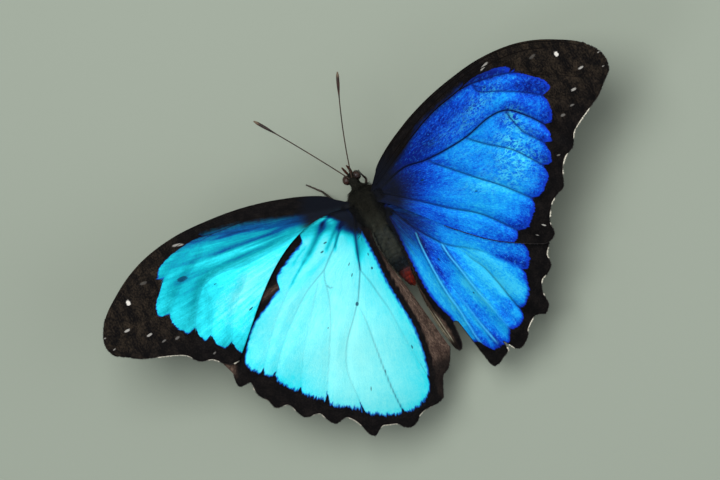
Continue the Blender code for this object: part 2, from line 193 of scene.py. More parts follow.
HINDWING_VEINS = {
    "right": {
        "costal": (0.26, 0.1, ((1, -2), (12, 2.4), (26, 0), (37, -10), (37.6, -22))),
        "radial": (0.22, 0.1, ((1.4, -3.4), (11.6, -5), (22.6, -10.5), (31, -19), (36, -26))),
        "first_medial": (0.2, 0.12, ((1.4, -4.4), (9, -8), (16.8, -14), (25, -22), (34, -31.5))),
        "second_medial": (0.14, -0.1, (
            (8.8, -18.2), (11.5, -20.6), (13.7, -22.1), (15.8, -23.7), (18.3, -26), (22, -31), (27, -38),
        )),
        "third_medial": (0.16, -0.22, (
            (12.2, -21.4), (13.2, -23.2), (13.9, -25.5), (15.6, -29), (16.7, -34.5), (17.4, -39.2),
            (18.5, -43.6), (20.4, -47.4),
        )),
        "cubital_stem": (0.26, -0.24, ((1, -3.6), (2.4, -6.6), (4.6, -11.6), (8.8, -18.2))),
        "first_cubital": (0.15, 0.36, (
            (8.8, -18.2), (9.1, -22.2), (9.8, -26), (10.3, -30), (10.9, -33.9), (11.7, -37.5),
            (12.3, -41.3), (13.2, -46.6),
        )),
        "second_cubital": (0.15, 0.4, (
            (4.4, -12.4), (3.9, -16.5), (3.6, -21), (3.4, -26.1), (3.5, -30.8), (3.9, -35.1),
            (3.9, -39.8), (4.1, -45.8),
        )),
        "fold": (0.11, 0.24, ((5.6, -30.6), (6.3, -36.1), (6.8, -40.2), (7.4, -44), (8.2, -47))),
    },
    "left": {
        "costal": (0.28, 0.08, ((1, -2), (13, 4), (28, 2.6), (40, -8), (44, -24))),
        "radial": (0.16, -0.06, (
            (1.4, -1.6), (6.4, 0.2), (9.7, -0.5), (14.3, -3.6), (21.3, -7.6), (31, -14.6), (40.6, -24.5),
            (44, -28),
        )),
        "first_medial": (0.19, -0.08, (
            (1.4, -2.4), (5.4, -3), (8.5, -5.5), (11.5, -7.6), (14, -9.5), (17.4, -10.8), (22.1, -13),
            (31, -19.4), (37.2, -25.6), (42, -31.4),
        )),
        "middle_fold": (0.12, -0.04, (
            (17, -11.6), (22.4, -17.6), (28.6, -24.6), (33.4, -31.5), (38, -38.6),
        )),
        "second_medial": (0.15, -0.06, (
            (14, -9.5), (15.1, -11.8), (15.8, -14.4), (18.2, -20), (23.6, -28.6), (28.6, -36.3),
            (32.4, -43.4),
        )),
        "hook": (0.12, -0.03, ((15.3, -13.2), (15.1, -14), (14.5, -14.4))),
        "cubital_stem": (0.4, -0.12, ((0.9, -1.4), (1.5, -2.9), (3.4, -7), (4.9, -10.7), (6.2, -14))),
        "third_medial": (0.17, -0.07, (
            (6.2, -14), (8.3, -17.2), (10.4, -20.3), (11.1, -21), (14, -24), (17.3, -27.2), (19.9, -30.7),
            (21.8, -35), (22.8, -43.2), (23.9, -51),
        )),
        "first_cubital": (0.14, -0.06, (
            (11.1, -21), (11.2, -25), (12, -30), (12.8, -34.8), (13.5, -39), (14.4, -46.6), (14.5, -54),
        )),
        "second_cubital": (0.16, -0.08, (
            (6.2, -14), (5.5, -18.2), (5.2, -22.2), (4.8, -26.4), (5, -34.4), (4.9, -41), (4.8, -51.4),
        )),
        "anal": (0.2, 0.12, ((0.8, -5.4), (0.8, -15), (-0.6, -26), (-1.6, -36), (-2.4, -44))),
    },
}
# Ridges that catch the light, as brightness at their start and at their end.
BRIGHT_VEINS = {"first_cubital": (1, 0.1), "second_cubital": (1, 0.55), "fold": (0.1, 0.9)}
# How dark the band beside a vein is, partly the vein's own dark scales and partly painted shade of
# its pleat, by wing and then for the veins that differ: one share, or the shares at the vein's start
# and end.
VEIN_SHADE = {("right", False): 0.72, ("left", False): 0.1, ("right", True): 0.4, ("left", True): 0.1}
OWN_SHADE = {
    ("right", False): {
        "second_medial": 1, "subcosta": 0.3, "radius": (0.4, 1), "costa": 0.2, "first_medial": 0.6,
    },
    ("left", False): {"second_medial": 0.2, "radius": 0.3, "subcosta": 0.3},
    ("right", True): {
        "first_cubital": 0, "second_cubital": 0, "fold": 0, "cubital_stem": 0.8, "third_medial": (0.1, 1),
        "second_medial": (0.75, 0),
    },
    ("left", True): {
        "cubital_stem": (1, 0.95), "radial": (0.5, 0), "first_medial": (0.8, 0), "anal": 0, "hook": 0.55,
        "third_medial": (0.75, 0.05), "first_cubital": (0.1, 0.9), "second_cubital": (0.5, 0),
        "second_medial": (0.5, 0.05), "middle_fold": (0.2, 0),
    },
}
# Broad dark streaks: half width, strength, points out and forward.
STREAKS = {
    ("left", True): (
        (0.85, 0.4, ((7.4, 1), (9.7, -0.5), (12, -2), (14.3, -3.6), (18.6, -6))),
        (0.35, 0.2, ((16.4, -4.6), (18.6, -6), (21.3, -7.6), (24.4, -9.6))),
        (0.5, 0.26, ((4.4, -1.2), (7, -2.6), (9.8, -4.6), (12, -6.2))),
        (0.3, 0.14, ((14.4, -2), (17.6, -3.2), (21, -5))),
        (0.45, 0.42, ((4, 1.8), (7, 1.2), (9.8, 0.4))),
        (0.4, 0.34, ((3, -0.6), (5.6, -2.6), (8, -5), (9.6, -7.2))),
        (0.6, 0.34, ((1.6, -2.4), (2.6, -5.2), (3.9, -8.4), (5.6, -12.6))),
    ),
    ("left", False): (
        (0.5, 0.15, ((15, 4.2), (22, 5.2), (30, 6.6), (38, 8.2))),
        (0.4, 0.13, ((14, 2.4), (22, 3), (29, 3.6), (36, 4.6))),
        (0.35, 0.14, ((20, 7), (28, 9.4), (36, 11))),
        (0.3, 0.12, ((17, 3.4), (24, 4.3), (31, 5.4))),
    ),
    ("right", True): (
        (0.5, 0.26, ((4.4, -13), (4.4, -18), (4.6, -25), (4.7, -31))),
        (0.9, 0.26, ((18.5, -26.6), (21.4, -29.2), (24, -32.4))),
    ),
    ("right", False): (),
}

# Painted highlights on the crinkles along the right hindwing's inner strip: half width, strength, points.
CREASE_HIGHLIGHTS = (
    (0.34, 1, ((-5.2, -28.6), (-5.3, -31.5), (-5.1, -34.5), (-4.5, -37.8), (-3.2, -41))),
    (0.26, 1, ((-3.6, -32), (-3, -35.4), (-2.6, -38.8), (-2.4, -41.6))),
    (0.26, 1, ((-6.2, -31), (-6.1, -34.5), (-5.4, -38.4), (-4.2, -41.6))),
)

# Where the blue ends, as (degrees, reach) from each wing's own root, from its inner edge forward.
BLUE_OUTER = {
    ("right", False): (
        (-50, 36), (-43.9, 37.9), (-39.7, 40), (-32.3, 41.6), (-26.2, 43.8), (-20.6, 46.4), (-15.4, 47.9),
        (-10.6, 49.4), (-5.6, 51.2), (-1.6, 52.6), (3.2, 54.7), (7.9, 52.6), (12.1, 49.8), (14.9, 46.9),
        (17.3, 43.6), (20, 39),
    ),
    ("left", False): (
        (-40, 42), (-26.2, 44), (-15.4, 47.6), (-5.6, 51.9), (3.2, 55.2), (7.9, 53), (12.1, 51),
        (14.9, 48.4), (20, 40),
    ),
    ("right", True): (
        (-90, 36), (-84, 42), (-81.8, 44.4), (-76.4, 45.1), (-73.3, 44.2), (-67.1, 44.3), (-64.2, 42.9),
        (-58, 42), (-51.8, 39.6), (-47, 39.3), (-43.4, 38.3), (-40.5, 36.4), (-30, 33),
    ),
    ("left", True): (
        (-90, 33), (-85.5, 38.3), (-84.2, 42.2), (-81.7, 45.6), (-79.1, 47.5), (-76.2, 48.6), (-73, 49),
        (-70, 48.9), (-65.5, 48.5), (-61.3, 47.8), (-58.9, 46.7), (-54.8, 46.4), (-50.7, 46.2),
        (-49.2, 45.5), (-45.8, 45.3), (-41.5, 45.2), (-36.5, 45.1), (-32.9, 44.9), (-29.1, 44.8),
        (-26.8, 45.4), (-22.8, 46.1),
    ),
}
# Where the blue ends towards the costa, as points out and forward.
BLUE_FRONT = {
    ("right", False): (
        (0, 1.5), (6, 3.6), (13.1, 6.4), (19.6, 10), (30.3, 12.3), (38, 13.6), (46, 13.4), (60, 8),
    ),
    ("left", False): (
        (0, 1.5), (6, 3.4), (12.4, 5.6), (20.6, 9), (30.2, 12.4), (41, 14.4), (47.2, 13.9), (60, 8),
    ),
    ("right", True): ((0, -3), (10, -2), (24, -6), (36, -20), (44, -30)),
    ("left", True): (
        (0, 2), (6.7, 3.2), (11.1, 3.6), (14.4, 3), (15.1, 0), (15.7, -0.9), (17.8, -1.6), (20.7, -2.8),
        (23.5, -4), (25.5, -5.6), (26, -8), (27.4, -8.4), (30.6, -10), (34.3, -11.5), (37.3, -13.4),
        (43, -20), (46, -26),
    ),
}
# Where the hindwing's blue ends towards the body, as (back from the forewing's root, out).
BLUE_INNER = {
    "right": ((0, 0.6), (11, -0.1), (19, -0.8), (27, -1.2), (32, -0.5), (36, 0.6), (50, 0.2)),
    "left": ((0, 1.1), (7, 1), (13, 1.2), (21, 1.7), (31, 1.4), (37, 2), (44, 3.8), (50, 6)),
}
# How wide the black is between that end and the brown inner strip.
INNER_BORDER = {"right": 1.6, "left": 1.15}

# How light each wing's blue is, higher on the left wings as painted light, and its lighter and deeper
# patches, partly the scales' own unevenness and partly painted light and shade of the wing's gentle
# undulation: out, fore, length along the ray, width, strength.
BLUE_BASE = {("right", False): 0.37, ("left", False): 0.62, ("right", True): 0.62, ("left", True): 0.84}
BLUE_PATCHES = {
    ("right", False): (
        (10, 3, 8, 4, -0.3), (21, 7.4, 9, 2.2, -0.2), (14, -2, 5, 2, -0.24), (30, 8, 8, 2, -0.04),
        (37, 8.6, 4.5, 1.6, -0.12), (43, 9.4, 5, 1.2, 0.1), (35, -1, 7, 2.4, 0.14),
        (41, -8, 4.5, 5, 0.16), (27, -0.8, 6, 2.2, 0.16), (30, -6, 6, 2.6, 0.14), (24, -9, 8, 2.2, 0.12),
        (31, -15, 6, 3, 0.22), (23, -14.5, 9, 1.8, 0.18), (24, -17.4, 7, 1.6, 0.14),
        (42, -1.4, 2.4, 3, -0.02), (23, -20.6, 6, 1.4, 0.1), (17, -9.4, 4, 1.2, 0.1),
        (46, 12, 5, 1.4, -0.14), (50, 4, 4, 2.5, -0.18), (10, -8, 5, 2, -0.14), (34, -21, 5, 2, -0.06),
        (47.6, -0.6, 2, 1.2, 0.1), (15.6, -2, 3, 1.2, 0.12), (23.2, -3.4, 3, 1.2, 0.12),
        (35.8, -17.2, 3, 1.6, 0.14), (23.6, -15, 4, 1.4, 0.08), (29.8, -19.6, 4, 1.2, 0.08),
        (18.5, -17.9, 3, 1.2, 0.2), (28.6, -1.9, 3, 1.4, -0.08), (41.6, 4.7, 3.2, 1, 0.28),
        (41.6, 0.2, 2.4, 1.2, -0.3), (45, -12, 2.5, 4, -0.06), (29, -11, 7, 3, 0.08),
    ),
    ("left", False): (
        (9, 3.4, 5, 2.2, -0.3), (22, 8.2, 9, 1.5, -0.26), (35, 11.6, 8, 1.6, -0.22),
        (24, 5.4, 7, 0.5, -0.14), (37, 8, 5, 0.6, -0.16), (23, 2.6, 6, 0.45, -0.12),
        (36, 4.5, 6, 0.5, -0.14), (30, 8.8, 7, 0.6, 0.08), (33, 6, 7, 0.45, 0.08),
        (26, -2.5, 10, 3, 0.14), (38, -7, 9, 5, 0.14), (46, 3, 4, 5, -0.14), (15, 4.6, 5, 0.6, -0.2),
        (30, 9, 10, 2.6, -0.08), (44, 8, 4, 4, -0.08),
    ),
    ("right", True): (
        (6, -10, 7, 3.4, -0.34), (13.5, -19.6, 6, 1.6, 0.18), (16, -25.4, 6, 1.5, 0.16),
        (19.8, -37.6, 5, 2, 0.4), (25.4, -29.6, 3.5, 1.4, 0.22), (6.4, -19.6, 6, 1.5, -0.36),
        (13, -23.5, 4, 1, 0.16), (12.4, -37.5, 5, 1.6, 0.18), (9.4, -31, 6, 1.5, 0.18),
        (4.8, -24.5, 1.3, 0.7, -0.18), (6.8, -26.2, 1.3, 0.6, -0.18), (16.1, -39.8, 1.6, 0.8, -0.3),
        (24.2, -31.5, 2.4, 1.2, -0.28), (11.5, -42.6, 1.5, 0.8, -0.2), (8.4, -31, 7, 1.4, 0.06),
        (14.2, -31, 7, 1.6, 0.16), (0.3, -25, 13, 1.3, 0.26), (17.4, -31.5, 5, 1.4, 0.12),
        (14.6, -41, 3, 1, -0.22), (16.6, -43, 3, 0.8, 0.2), (11.5, -44.5, 3, 1.2, 0.2),
        (5.8, -40, 7, 0.8, 0.2), (5.4, -33, 6, 0.8, -0.06), (9.6, -38, 3, 1.2, -0.1),
        (2.6, -40, 5, 1, 0.12), (7.6, -46.4, 2, 1.4, -0.26), (27, -34, 2, 3, -0.1),
        (22, -24, 6, 2, -0.06), (26.4, -28.8, 4, 2.2, -0.24), (11.1, -21.6, 2, 0.9, -0.2),
        (11.1, -28.7, 3, 1.2, 0.12), (18.7, -29, 3, 1.2, 0.08), (3.2, -33.6, 4, 1, 0.14),
        (2.6, -27.2, 3, 1, 0.1), (5, -43.2, 2, 1.4, -0.18), (23.6, -36.4, 1.6, 1, -0.18),
    ),
    ("left", True): (
        (11.5, 1.6, 3, 0.8, -0.16), (17, -8.4, 5, 0.5, -0.1), (2.6, -8.4, 3, 0.8, -0.22),
        (16, -28, 14, 8, 0.12), (3.4, -30, 18, 1.1, -0.05), (4.8, -44, 6, 2, 0.02), (24, -38, 8, 9, 0.04),
        (34, -31.5, 4, 4, -0.06), (6.4, -19, 8, 2.6, -0.06), (14.6, -3.5, 2, 1, 0.06),
        (28.5, -12.7, 5, 2.4, 0.05), (8.6, -46, 6, 3, -0.03), (6, -2, 3, 1.6, -0.16),
        (8.4, -0.2, 2.2, 1, -0.22), (17, 2.6, 1.8, 0.8, -0.26), (13.6, 0.6, 2.2, 0.8, -0.18),
        (3, -5.4, 2.4, 1.2, -0.12),
    ),
}
# Small dark flecks where scales are lost: out, fore, half length, half width.
FLECKS = {
    ("left", True): (
        (7.9, -11.4, 0.5, 0.13), (8.6, -14.1, 0.5, 0.15), (3.4, -15.1, 0.38, 0.28),
        (2.5, -11.6, 0.4, 0.16), (10.4, -3.8, 0.5, 0.2), (12.2, -5.4, 0.5, 0.24), (11.1, -21, 0.55, 0.42),
        (13.5, -39, 0.5, 0.22), (18.7, -41.2, 0.7, 0.16), (4.6, -37.2, 0.6, 0.22), (4.9, -34, 1.4, 0.08),
        (20.4, -22.6, 0.3, 0.14),
    ),
    ("left", False): ((45.8, 6.2, 1.4, 0.7), (34.6, -8.8, 0.7, 0.22), (39.3, 1, 0.5, 0.16)),
    ("right", False): ((24.6, -11.4, 0.5, 0.2), (13.6, -2.4, 0.5, 0.3)),
    ("right", True): ((6, -21.5, 0.5, 0.24), (9.6, -33, 0.4, 0.22)),
}
# White spots near the forewing's tip: out, fore, half length, half width, strength.
WHITE_SPOTS = (
    (60.4, 7.8, 0.55, 0.75, 1), (64, 1.9, 0.8, 0.34, 0.5), (59.8, -1.8, 0.8, 0.3, 0.45),
    (57.4, -4.9, 0.6, 0.25, 0.16), (54.2, -5.9, 0.6, 0.35, 0.16), (48, -13.8, 0.45, 0.22, 0.16),
    (42.5, 14.1, 1.5, 0.34, 0.4), (54.6, 10.1, 0.9, 0.4, 0.07), (35.4, -26.9, 0.6, 0.22, 0.5),
    (32.6, -28.3, 0.5, 0.2, 0.28), (69.2, -0.6, 0.4, 0.2, 0.4), (69.9, 3, 0.4, 0.2, 0.4),
)
# Eyespots below, as (degrees, reach, radius) from each wing's own root.
EYESPOTS = {
    False: ((7, 50, 2), (-4, 47, 2.4), (-20, 39, 3.6)),
    True: ((-18, 33, 5), (-48, 35, 2.6), (-61, 36, 3.2), (-74, 36.5, 3.4)),
}


def monotone(points, at):
    """A smooth curve through the points that never swings past them: cubic pieces whose slope at
    a point is the harmonic mean of its neighbours' slopes, or flat at a peak or a dip."""
    x, y = np.array(points, float).T
    order = np.argsort(x)
    x, y = x[order], y[order]
    step = np.diff(y) / np.diff(x)
    before, after = step[:-1], step[1:]
    same = before * after > 0
    middle = np.where(same, 2 * before * after / np.where(same, before + after, 1), 0)
    slope = np.concatenate([step[:1], middle, step[-1:]])
    at = np.clip(at, x[0], x[-1])
    i = np.clip(np.searchsorted(x, at) - 1, 0, len(x) - 2)
    width = x[i + 1] - x[i]
    q = (at - x[i]) / width
    return (
        (1 + 2 * q) * (1 - q) ** 2 * y[i]
        + q * (1 - q) ** 2 * width * slope[i]
        + q * q * (3 - 2 * q) * y[i + 1]
        + q * q * (q - 1) * width * slope[i + 1]
    )


def ease(q):
    """0 to 1 with level ends."""
    q = np.clip(q, 0, 1)
    return q * q * (3 - 2 * q)


def bell(gap, width):
    """A bell curve: 1 where the gap is 0, and about a third at the width."""
    return np.exp(-((gap / width) ** 2))


def wing_name(side, hind):
    """The wing's solid, and the start of its pieces' names."""
    return f"{KINDS[hind]}_{side}"


def setback(hind):
    """How far the wing's own root lies behind the forewing's."""
    return HINDWING_SETBACK if hind else 0


def wing_edge(side, hind):
    """The margin's points from the inner edge forward."""
    return HINDWING_OUTER[side] + HINDWING_COSTA[side] if hind else FOREWING_EDGE[side]


def ray_angle(side, hind, s):
    """Degrees of the ray at s, from the inner edge (0) to the costa (1)."""
    angles = [angle for angle, _ in wing_edge(side, hind)]
    return min(angles) + s * (max(angles) - min(angles))


def flat_wing(side, hind, s, t):
    """The wing laid flat: s runs from the inner edge (0) to the costa (1), t from root to margin.
    The root is tucked into the thorax. Returns distance out and distance forward of the forewing's
    root, in millimetres."""
    angle = ray_angle(side, hind, s)
    reach = ROOT_REACH + t * (monotone(wing_edge(side, hind), angle) - ROOT_REACH)
    inner = 1 - s
    if hind:
        near, far = STRIP_CLEAR[side]
        clear = 1 - ease((reach - near) / (far - near))
        angle = angle + STRIP_SWING[side] * clear * inner**4
    elif side == "left":
        first, second = LEFT_FOREWING_SWING
        angle = angle + inner * (first * (1 - t) + second * (1 - t) ** 2)
    radians = np.radians(angle)
    tuck = ROOT_TUCK * (1 - ease(reach / TUCK_REACH))
    return reach * np.cos(radians) - tuck, reach * np.sin(radians) - setback(hind)


def bent_wing(side, hind, out, fore, rise=0.0):
    """The flat wing's points raised by the dihedral, arched along the span, drooping at the rear
    and the costa, and folded down where the inner strip turns under. rise lifts them off the
    wing's middle surface."""
    lift = WING_SPLIT * (-1 if hind else 1)
    lift = lift + SPAN_ARCH * np.sin(np.pi * np.clip(out, 0, ARCH_SPAN) / ARCH_SPAN)
    lift = lift - REAR_DROOP * (np.clip(-fore, 0, None) / REAR_REACH) ** 2
    lift = lift - FRONT_DROOP * (np.clip(fore, 0, None) / FRONT_REACH) ** 2 + rise
    folded = np.clip(FOLD_OUT[side] - out, 0, None) * (1 if hind else 0)
    out = out + folded * (1 - math.cos(FOLD_ANGLE))
    lift = lift - folded * math.sin(FOLD_ANGLE)
    tilt = DIHEDRAL[side]
    x = OUTWARD[side] * (WING_ROOT_OUT + out * math.cos(tilt) - lift * math.sin(tilt))
    z = THORAX_HEIGHT + WING_ROOT_UP + out * math.sin(tilt) + lift * math.cos(tilt)
    return np.stack([x, WING_ROOT_Y - fore, z], axis=-1)


def wing_normal(side, count):
    """The direction that points up from the flat wing, once for each of count points."""
    tilt = DIHEDRAL[side]
    return np.broadcast_to([-OUTWARD[side] * math.sin(tilt), 0, math.cos(tilt)], (count, 3))


def polar(hind, out, fore):
    """Degrees and reach from the wing's own root."""
    ahead = fore + setback(hind)
    return np.degrees(np.arctan2(ahead, out)), np.hypot(out, ahead)


def rounded_line(points, count):
    """The points joined by a Catmull-Rom curve: cubic pieces whose slope at a point is half the
    step between its neighbours."""
    knots = np.array(points, float)
    before = 2 * knots[0] - knots[1]
    after = 2 * knots[-1] - knots[-2]
    knots = np.concatenate([[before], knots, [after]])
    at = np.linspace(0, len(points) - 1, count)
    i = np.clip(at.astype(int), 0, len(points) - 2)
    q = (at - i)[:, None]
    a, b, c, d = knots[i], knots[i + 1], knots[i + 2], knots[i + 3]
    return b + 0.5 * q * (c - a + q * (2 * a - 5 * b + 4 * c - d + q * (3 * (b - c) + d - a)))


def wing_veins(side, hind):
    """The wing's veins by name, without those that are torn away."""
    if hind:
        return HINDWING_VEINS[side]
    gone = TORN_AWAY if side == "left" else ()
    return {name: vein for name, vein in FOREWING_VEINS.items() if name not in gone}


def line_distance(out, fore, line):
    """Distance to the nearest piece of the line, negative on its rear side, and how far along the
    line that is, from 0 to 1."""
    start, step = line[:-1], np.diff(line, axis=0)
    long = (step**2).sum(axis=1)
    away = np.stack([out.ravel(), fore.ravel()], axis=1)[:, None] - start
    q = np.clip((away * step).sum(axis=2) / long, 0, 1)
    gap = away - q[..., None] * step
    far = np.hypot(gap[..., 0], gap[..., 1])
    nearest = far.argmin(axis=1)
    row = np.arange(len(nearest))
    turn = step[nearest, 0] * gap[row, nearest, 1] - step[nearest, 1] * gap[row, nearest, 0]
    along = (nearest + q[row, nearest]) / len(start)
    signed = np.where(turn < 0, -1, 1) * far[row, nearest]
    return signed.reshape(out.shape), along.reshape(out.shape)


def vein_field(side, hind, out, fore):
    """The pleats that the veins raise and sink, each a bell curve across its vein, the signed
    distance to the nearest vein, how dark the band beside the veins is, partly their own dark
    scales and partly painted shade, and the painted highlight on the ridges that catch the light,
    with a painted shadow line beside each ridge."""
    nearest = np.full(out.shape, 99.0)
    near = 0.2 if side == "right" else 0.1
    rise, shade, ridge = np.zeros(out.shape), np.zeros(out.shape), np.zeros(out.shape)
    for name, (width, pleat, points) in wing_veins(side, hind).items():
        signed, along = line_distance(out, fore, rounded_line(points, 40))
        rise += pleat * bell(signed, PLEAT_WIDTH) * np.minimum(1, 0.35 + 2 * along)
        nearest = np.where(np.abs(signed) < np.abs(nearest), signed, nearest)
        first, last = np.broadcast_to(OWN_SHADE[side, hind].get(name, VEIN_SHADE[side, hind]), 2)
        dark = first + (last - first) * along
        shade = np.maximum(shade, dark * bell(signed, near + 0.5 * width))
        if side == "right" and hind and name in BRIGHT_VEINS:
            first, last = BRIGHT_VEINS[name]
            # The painted highlight on a ridge that catches the light.
            bright = (first + (last - first) * along) * ease(along * 30)
            ridge = np.maximum(ridge, bright * bell(signed, 0.17))
            # A painted shadow line along both sides of a bright ridge.
            shade = np.maximum(shade, 0.55 * bright * bell(np.abs(signed) - 0.46, 0.24))
    _, reach = polar(hind, out, fore)
    ripple = 0.10 * np.sin(reach / 3.1 + 0.4 * fore) * np.sin(0.31 * out - 0.23 * fore)
    return rise + ripple * ease(reach / 20), nearest, shade, ridge


def wave(seed, x, y, size):
    """Smooth noise from -1 to 1: five sine waves of mixed directions, about the given size."""
    draw = np.random.default_rng(seed)
    turn, shift = draw.uniform(0, 2 * math.pi, (2, 5))
    pace = 2 * math.pi / size * draw.uniform(0.6, 1.5, 5)
    total = sum(np.sin(k * (x * np.cos(a) + y * np.sin(a)) + b) for k, a, b in zip(pace, turn, shift))
    return total / 2.5


def stripes(out, fore, lines):
    """For each line in turn, a bell curve across it that fades towards both of its ends."""
    for width, strength, points in lines:
        signed, along = line_distance(out, fore, rounded_line(points, 30))
        fade = np.minimum(1, 5 * np.minimum(along, 1 - along))
        yield strength * fade * bell(signed, width)


def blue_depth(side, hind, out, fore, nearest):
    """Millimetres inside the blue, below 0 in the border, as two distances: to its outer and inner
    ends, drawn in along the veins and made uneven, and to its front. A hindwing's front counts as
    an outer end. The third value is how jagged the end is: fully at the outer end."""
    angle, reach = polar(hind, out, fore)
    depth = monotone(BLUE_OUTER[side, hind], angle) - reach
    if hind and side == "left":
        depth = depth - 2.3 * np.exp(-np.abs(nearest) / 0.2)
    else:
        lobe = 0.4 if hind else 1.4
        depth = depth - np.exp(-np.abs(nearest) / 0.4) - lobe * (bell(nearest, PLEAT_WIDTH) - 0.35)
    depth = depth + 0.14 * wave(3, angle * 0.8, reach * 0.3, 2.4)
    front = monotone(BLUE_FRONT[side, hind], out) - fore + 0.12 * wave(5, out, fore, 2.0)
    if not hind:
        return depth, front, np.ones(out.shape)
    inner = out - monotone(BLUE_INNER[side], -fore)
    others = np.minimum(front, inner + 0.12 * wave(7, out, fore, 1.2))
    jag = 0.3 + 0.7 * ease((others - depth) / 1.5 + 0.5)
    return np.minimum(depth, others), np.full(out.shape, 9.0), jag


def ray_place(out, fore, hind, x, y):
    """How far each point lies from (x, y) along the ray from the wing's root through it, and how
    far across that ray."""
    ray = math.atan2(y + setback(hind), x)
    along = (out - x) * math.cos(ray) + (fore - y) * math.sin(ray)
    across = (fore - y) * math.cos(ray) - (out - x) * math.sin(ray)
    return along, across


def patches(out, fore, hind, spots):
    """Soft ovals summed: each is a bell curve, long along the ray through it and narrow across."""
    total = np.zeros(out.shape)
    for x, y, long, wide, strength in spots:
        along, across = ray_place(out, fore, hind, x, y)
        total += strength * np.exp(-0.5 * ((along / long) ** 2 + (across / wide) ** 2))
    return total


def ovals(out, fore, hind, spots):
    """How far a point is from the nearest oval: 0 at its middle, 1 on its rim, 3 at most."""
    best = np.full(out.shape, 3.0)
    for x, y, long, wide, *_ in spots:
        along, across = ray_place(out, fore, hind, x, y)
        best = np.minimum(best, np.hypot(along / long, across / wide))
    return best


# ---- Meshes


def grid_faces(rows, columns, first=0, flip=False, around=False):
    """Four-sided faces of a grid of points, row by row, that may close on itself around a row."""
    r = np.arange(rows - 1)[:, None]
    c = np.arange(columns if around else columns - 1)[None, :]
    d = (c + 1) % columns
    low, high = r * columns, (r + 1) * columns
    quads = np.stack([low + c, low + d, high + d, high + c], axis=-1).reshape(-1, 4)
    return first + (quads[:, ::-1] if flip else quads)


def closed_faces(rows, columns, flip=False):
    """Faces of a grid whose rows close on themselves, and a fan at each end, from the two poles
    that follow the grid's points."""
    k = np.arange(columns)
    n = (k + 1) % columns
    poles = np.broadcast_to(rows * columns + np.arange(2)[:, None], (2, columns))
    last = (rows - 1) * columns
    fans = [np.stack([poles[0], n, k], axis=1), np.stack([poles[1], last + k, last + n], axis=1)]
    grid = grid_faces(rows, columns, around=True, flip=flip)
    return [grid, *(fan[:, ::-1] if flip else fan for fan in fans)]


def add_piece(name, points, faces, finishes, stands_for=(), marks=None, maps=None, worn=None):
    """A mesh object from points in millimetres and blocks of faces, with point attributes (marks),
    UV maps given at each point (maps) and each face's finish (worn)."""
    mesh = bpy.data.meshes.new(name)
    points = (np.asarray(points, float) + GROUND) * MM
    corners = np.concatenate([block.ravel() for block in faces]).astype(np.int32)
    sizes = np.concatenate([np.full(len(block), block.shape[1]) for block in faces])
    starts = np.concatenate([[0], np.cumsum(sizes)[:-1]]).astype(np.int32)
    mesh.vertices.add(len(points))
    mesh.vertices.foreach_set("co", points.astype(np.float32).ravel())
    mesh.loops.add(len(corners))
    mesh.loops.foreach_set("vertex_index", corners)
    mesh.polygons.add(len(starts))
    mesh.polygons.foreach_set("loop_start", starts)
    for finish in finishes:
        mesh.materials.append(finish)
    if worn is not None:
        mesh.polygons.foreach_set("material_index", np.asarray(worn, np.int32))
    mesh.update(calc_edges=True)
    mesh.validate()
    mesh.shade_smooth()
    for mark, values in (marks or {}).items():
        layer = mesh.attributes.new(mark, "FLOAT", "POINT")
        layer.data.foreach_set("value", np.asarray(values, np.float32).ravel())
    for chart, places in (maps or {}).items():
        layer = mesh.uv_layers.new(name=chart)
        layer.data.foreach_set("uv", np.asarray(places, np.float32)[corners].ravel())
    piece = bpy.data.objects.new(name, mesh)
    bpy.context.scene.collection.objects.link(piece)
    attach(piece, "root")
    if stands_for:
        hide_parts(*stands_for)


def unit(vectors):
    """The vectors at length 1."""
    return vectors / np.maximum(np.linalg.norm(vectors, axis=-1, keepdims=True), 1e-9)


def sweep(path, radii, sides, up=(0, 0, 1), flat=1):
    """Points and faces of a rod: a ring of the given radius round each point of the path, square
    to it, flattened along up by the share flat, and closed at both ends by a pole."""
    path, radii = np.asarray(path, float), np.asarray(radii, float)
    tangent = unit(np.gradient(path, axis=0))
    across = unit(np.cross(tangent, up))
    over = np.cross(across, tangent)
    turn = (np.arange(sides) * 2 * math.pi / sides)[None, :, None]
    ring = np.cos(turn) * across[:, None] + flat * np.sin(turn) * over[:, None]
    ring = radii[:, None, None] * ring
    rings = (path[:, None] + ring).reshape(-1, 3)
    ends = np.stack([path[0] - tangent[0] * radii[0] * 0.6, path[-1] + tangent[-1] * radii[-1] * 0.6])
    return np.concatenate([rings, ends]), closed_faces(len(path), sides, flip=True)


def per_ring(values, sides):
    """One value for each ring of a rod, as one for each of its points and then its two poles."""
    values = np.asarray(values)
    return np.concatenate([np.repeat(values, sides), values[[0, -1]]])


def joined(parts):
    """Several (points, blocks of faces, marks) as one."""
    points, blocks, marks, first = [], [], {}, 0
    for part_points, part_blocks, part_marks in parts:
        points.append(part_points)
        blocks += [block + first for block in part_blocks]
        for mark, values in part_marks.items():
            marks.setdefault(mark, []).append(np.broadcast_to(values, len(part_points)))
        first += len(part_points)
    return np.concatenate(points), blocks, {mark: np.concatenate(v) for mark, v in marks.items()}


# A tuft has three rings of three points and a tip, at these shares of its length.
TUFT_SHARES = (0.0, 0.38, 0.74, 1.0)
TUFT_POINTS = 10
# How near the tip each of a tuft's points counts, and the size of its patch on a chart.
TUFT_ALONG = (0, 0, 0, 0.4, 0.4, 0.4, 0.75, 0.75, 0.75, 1.0)
TUFT_PATCH = 0.0014


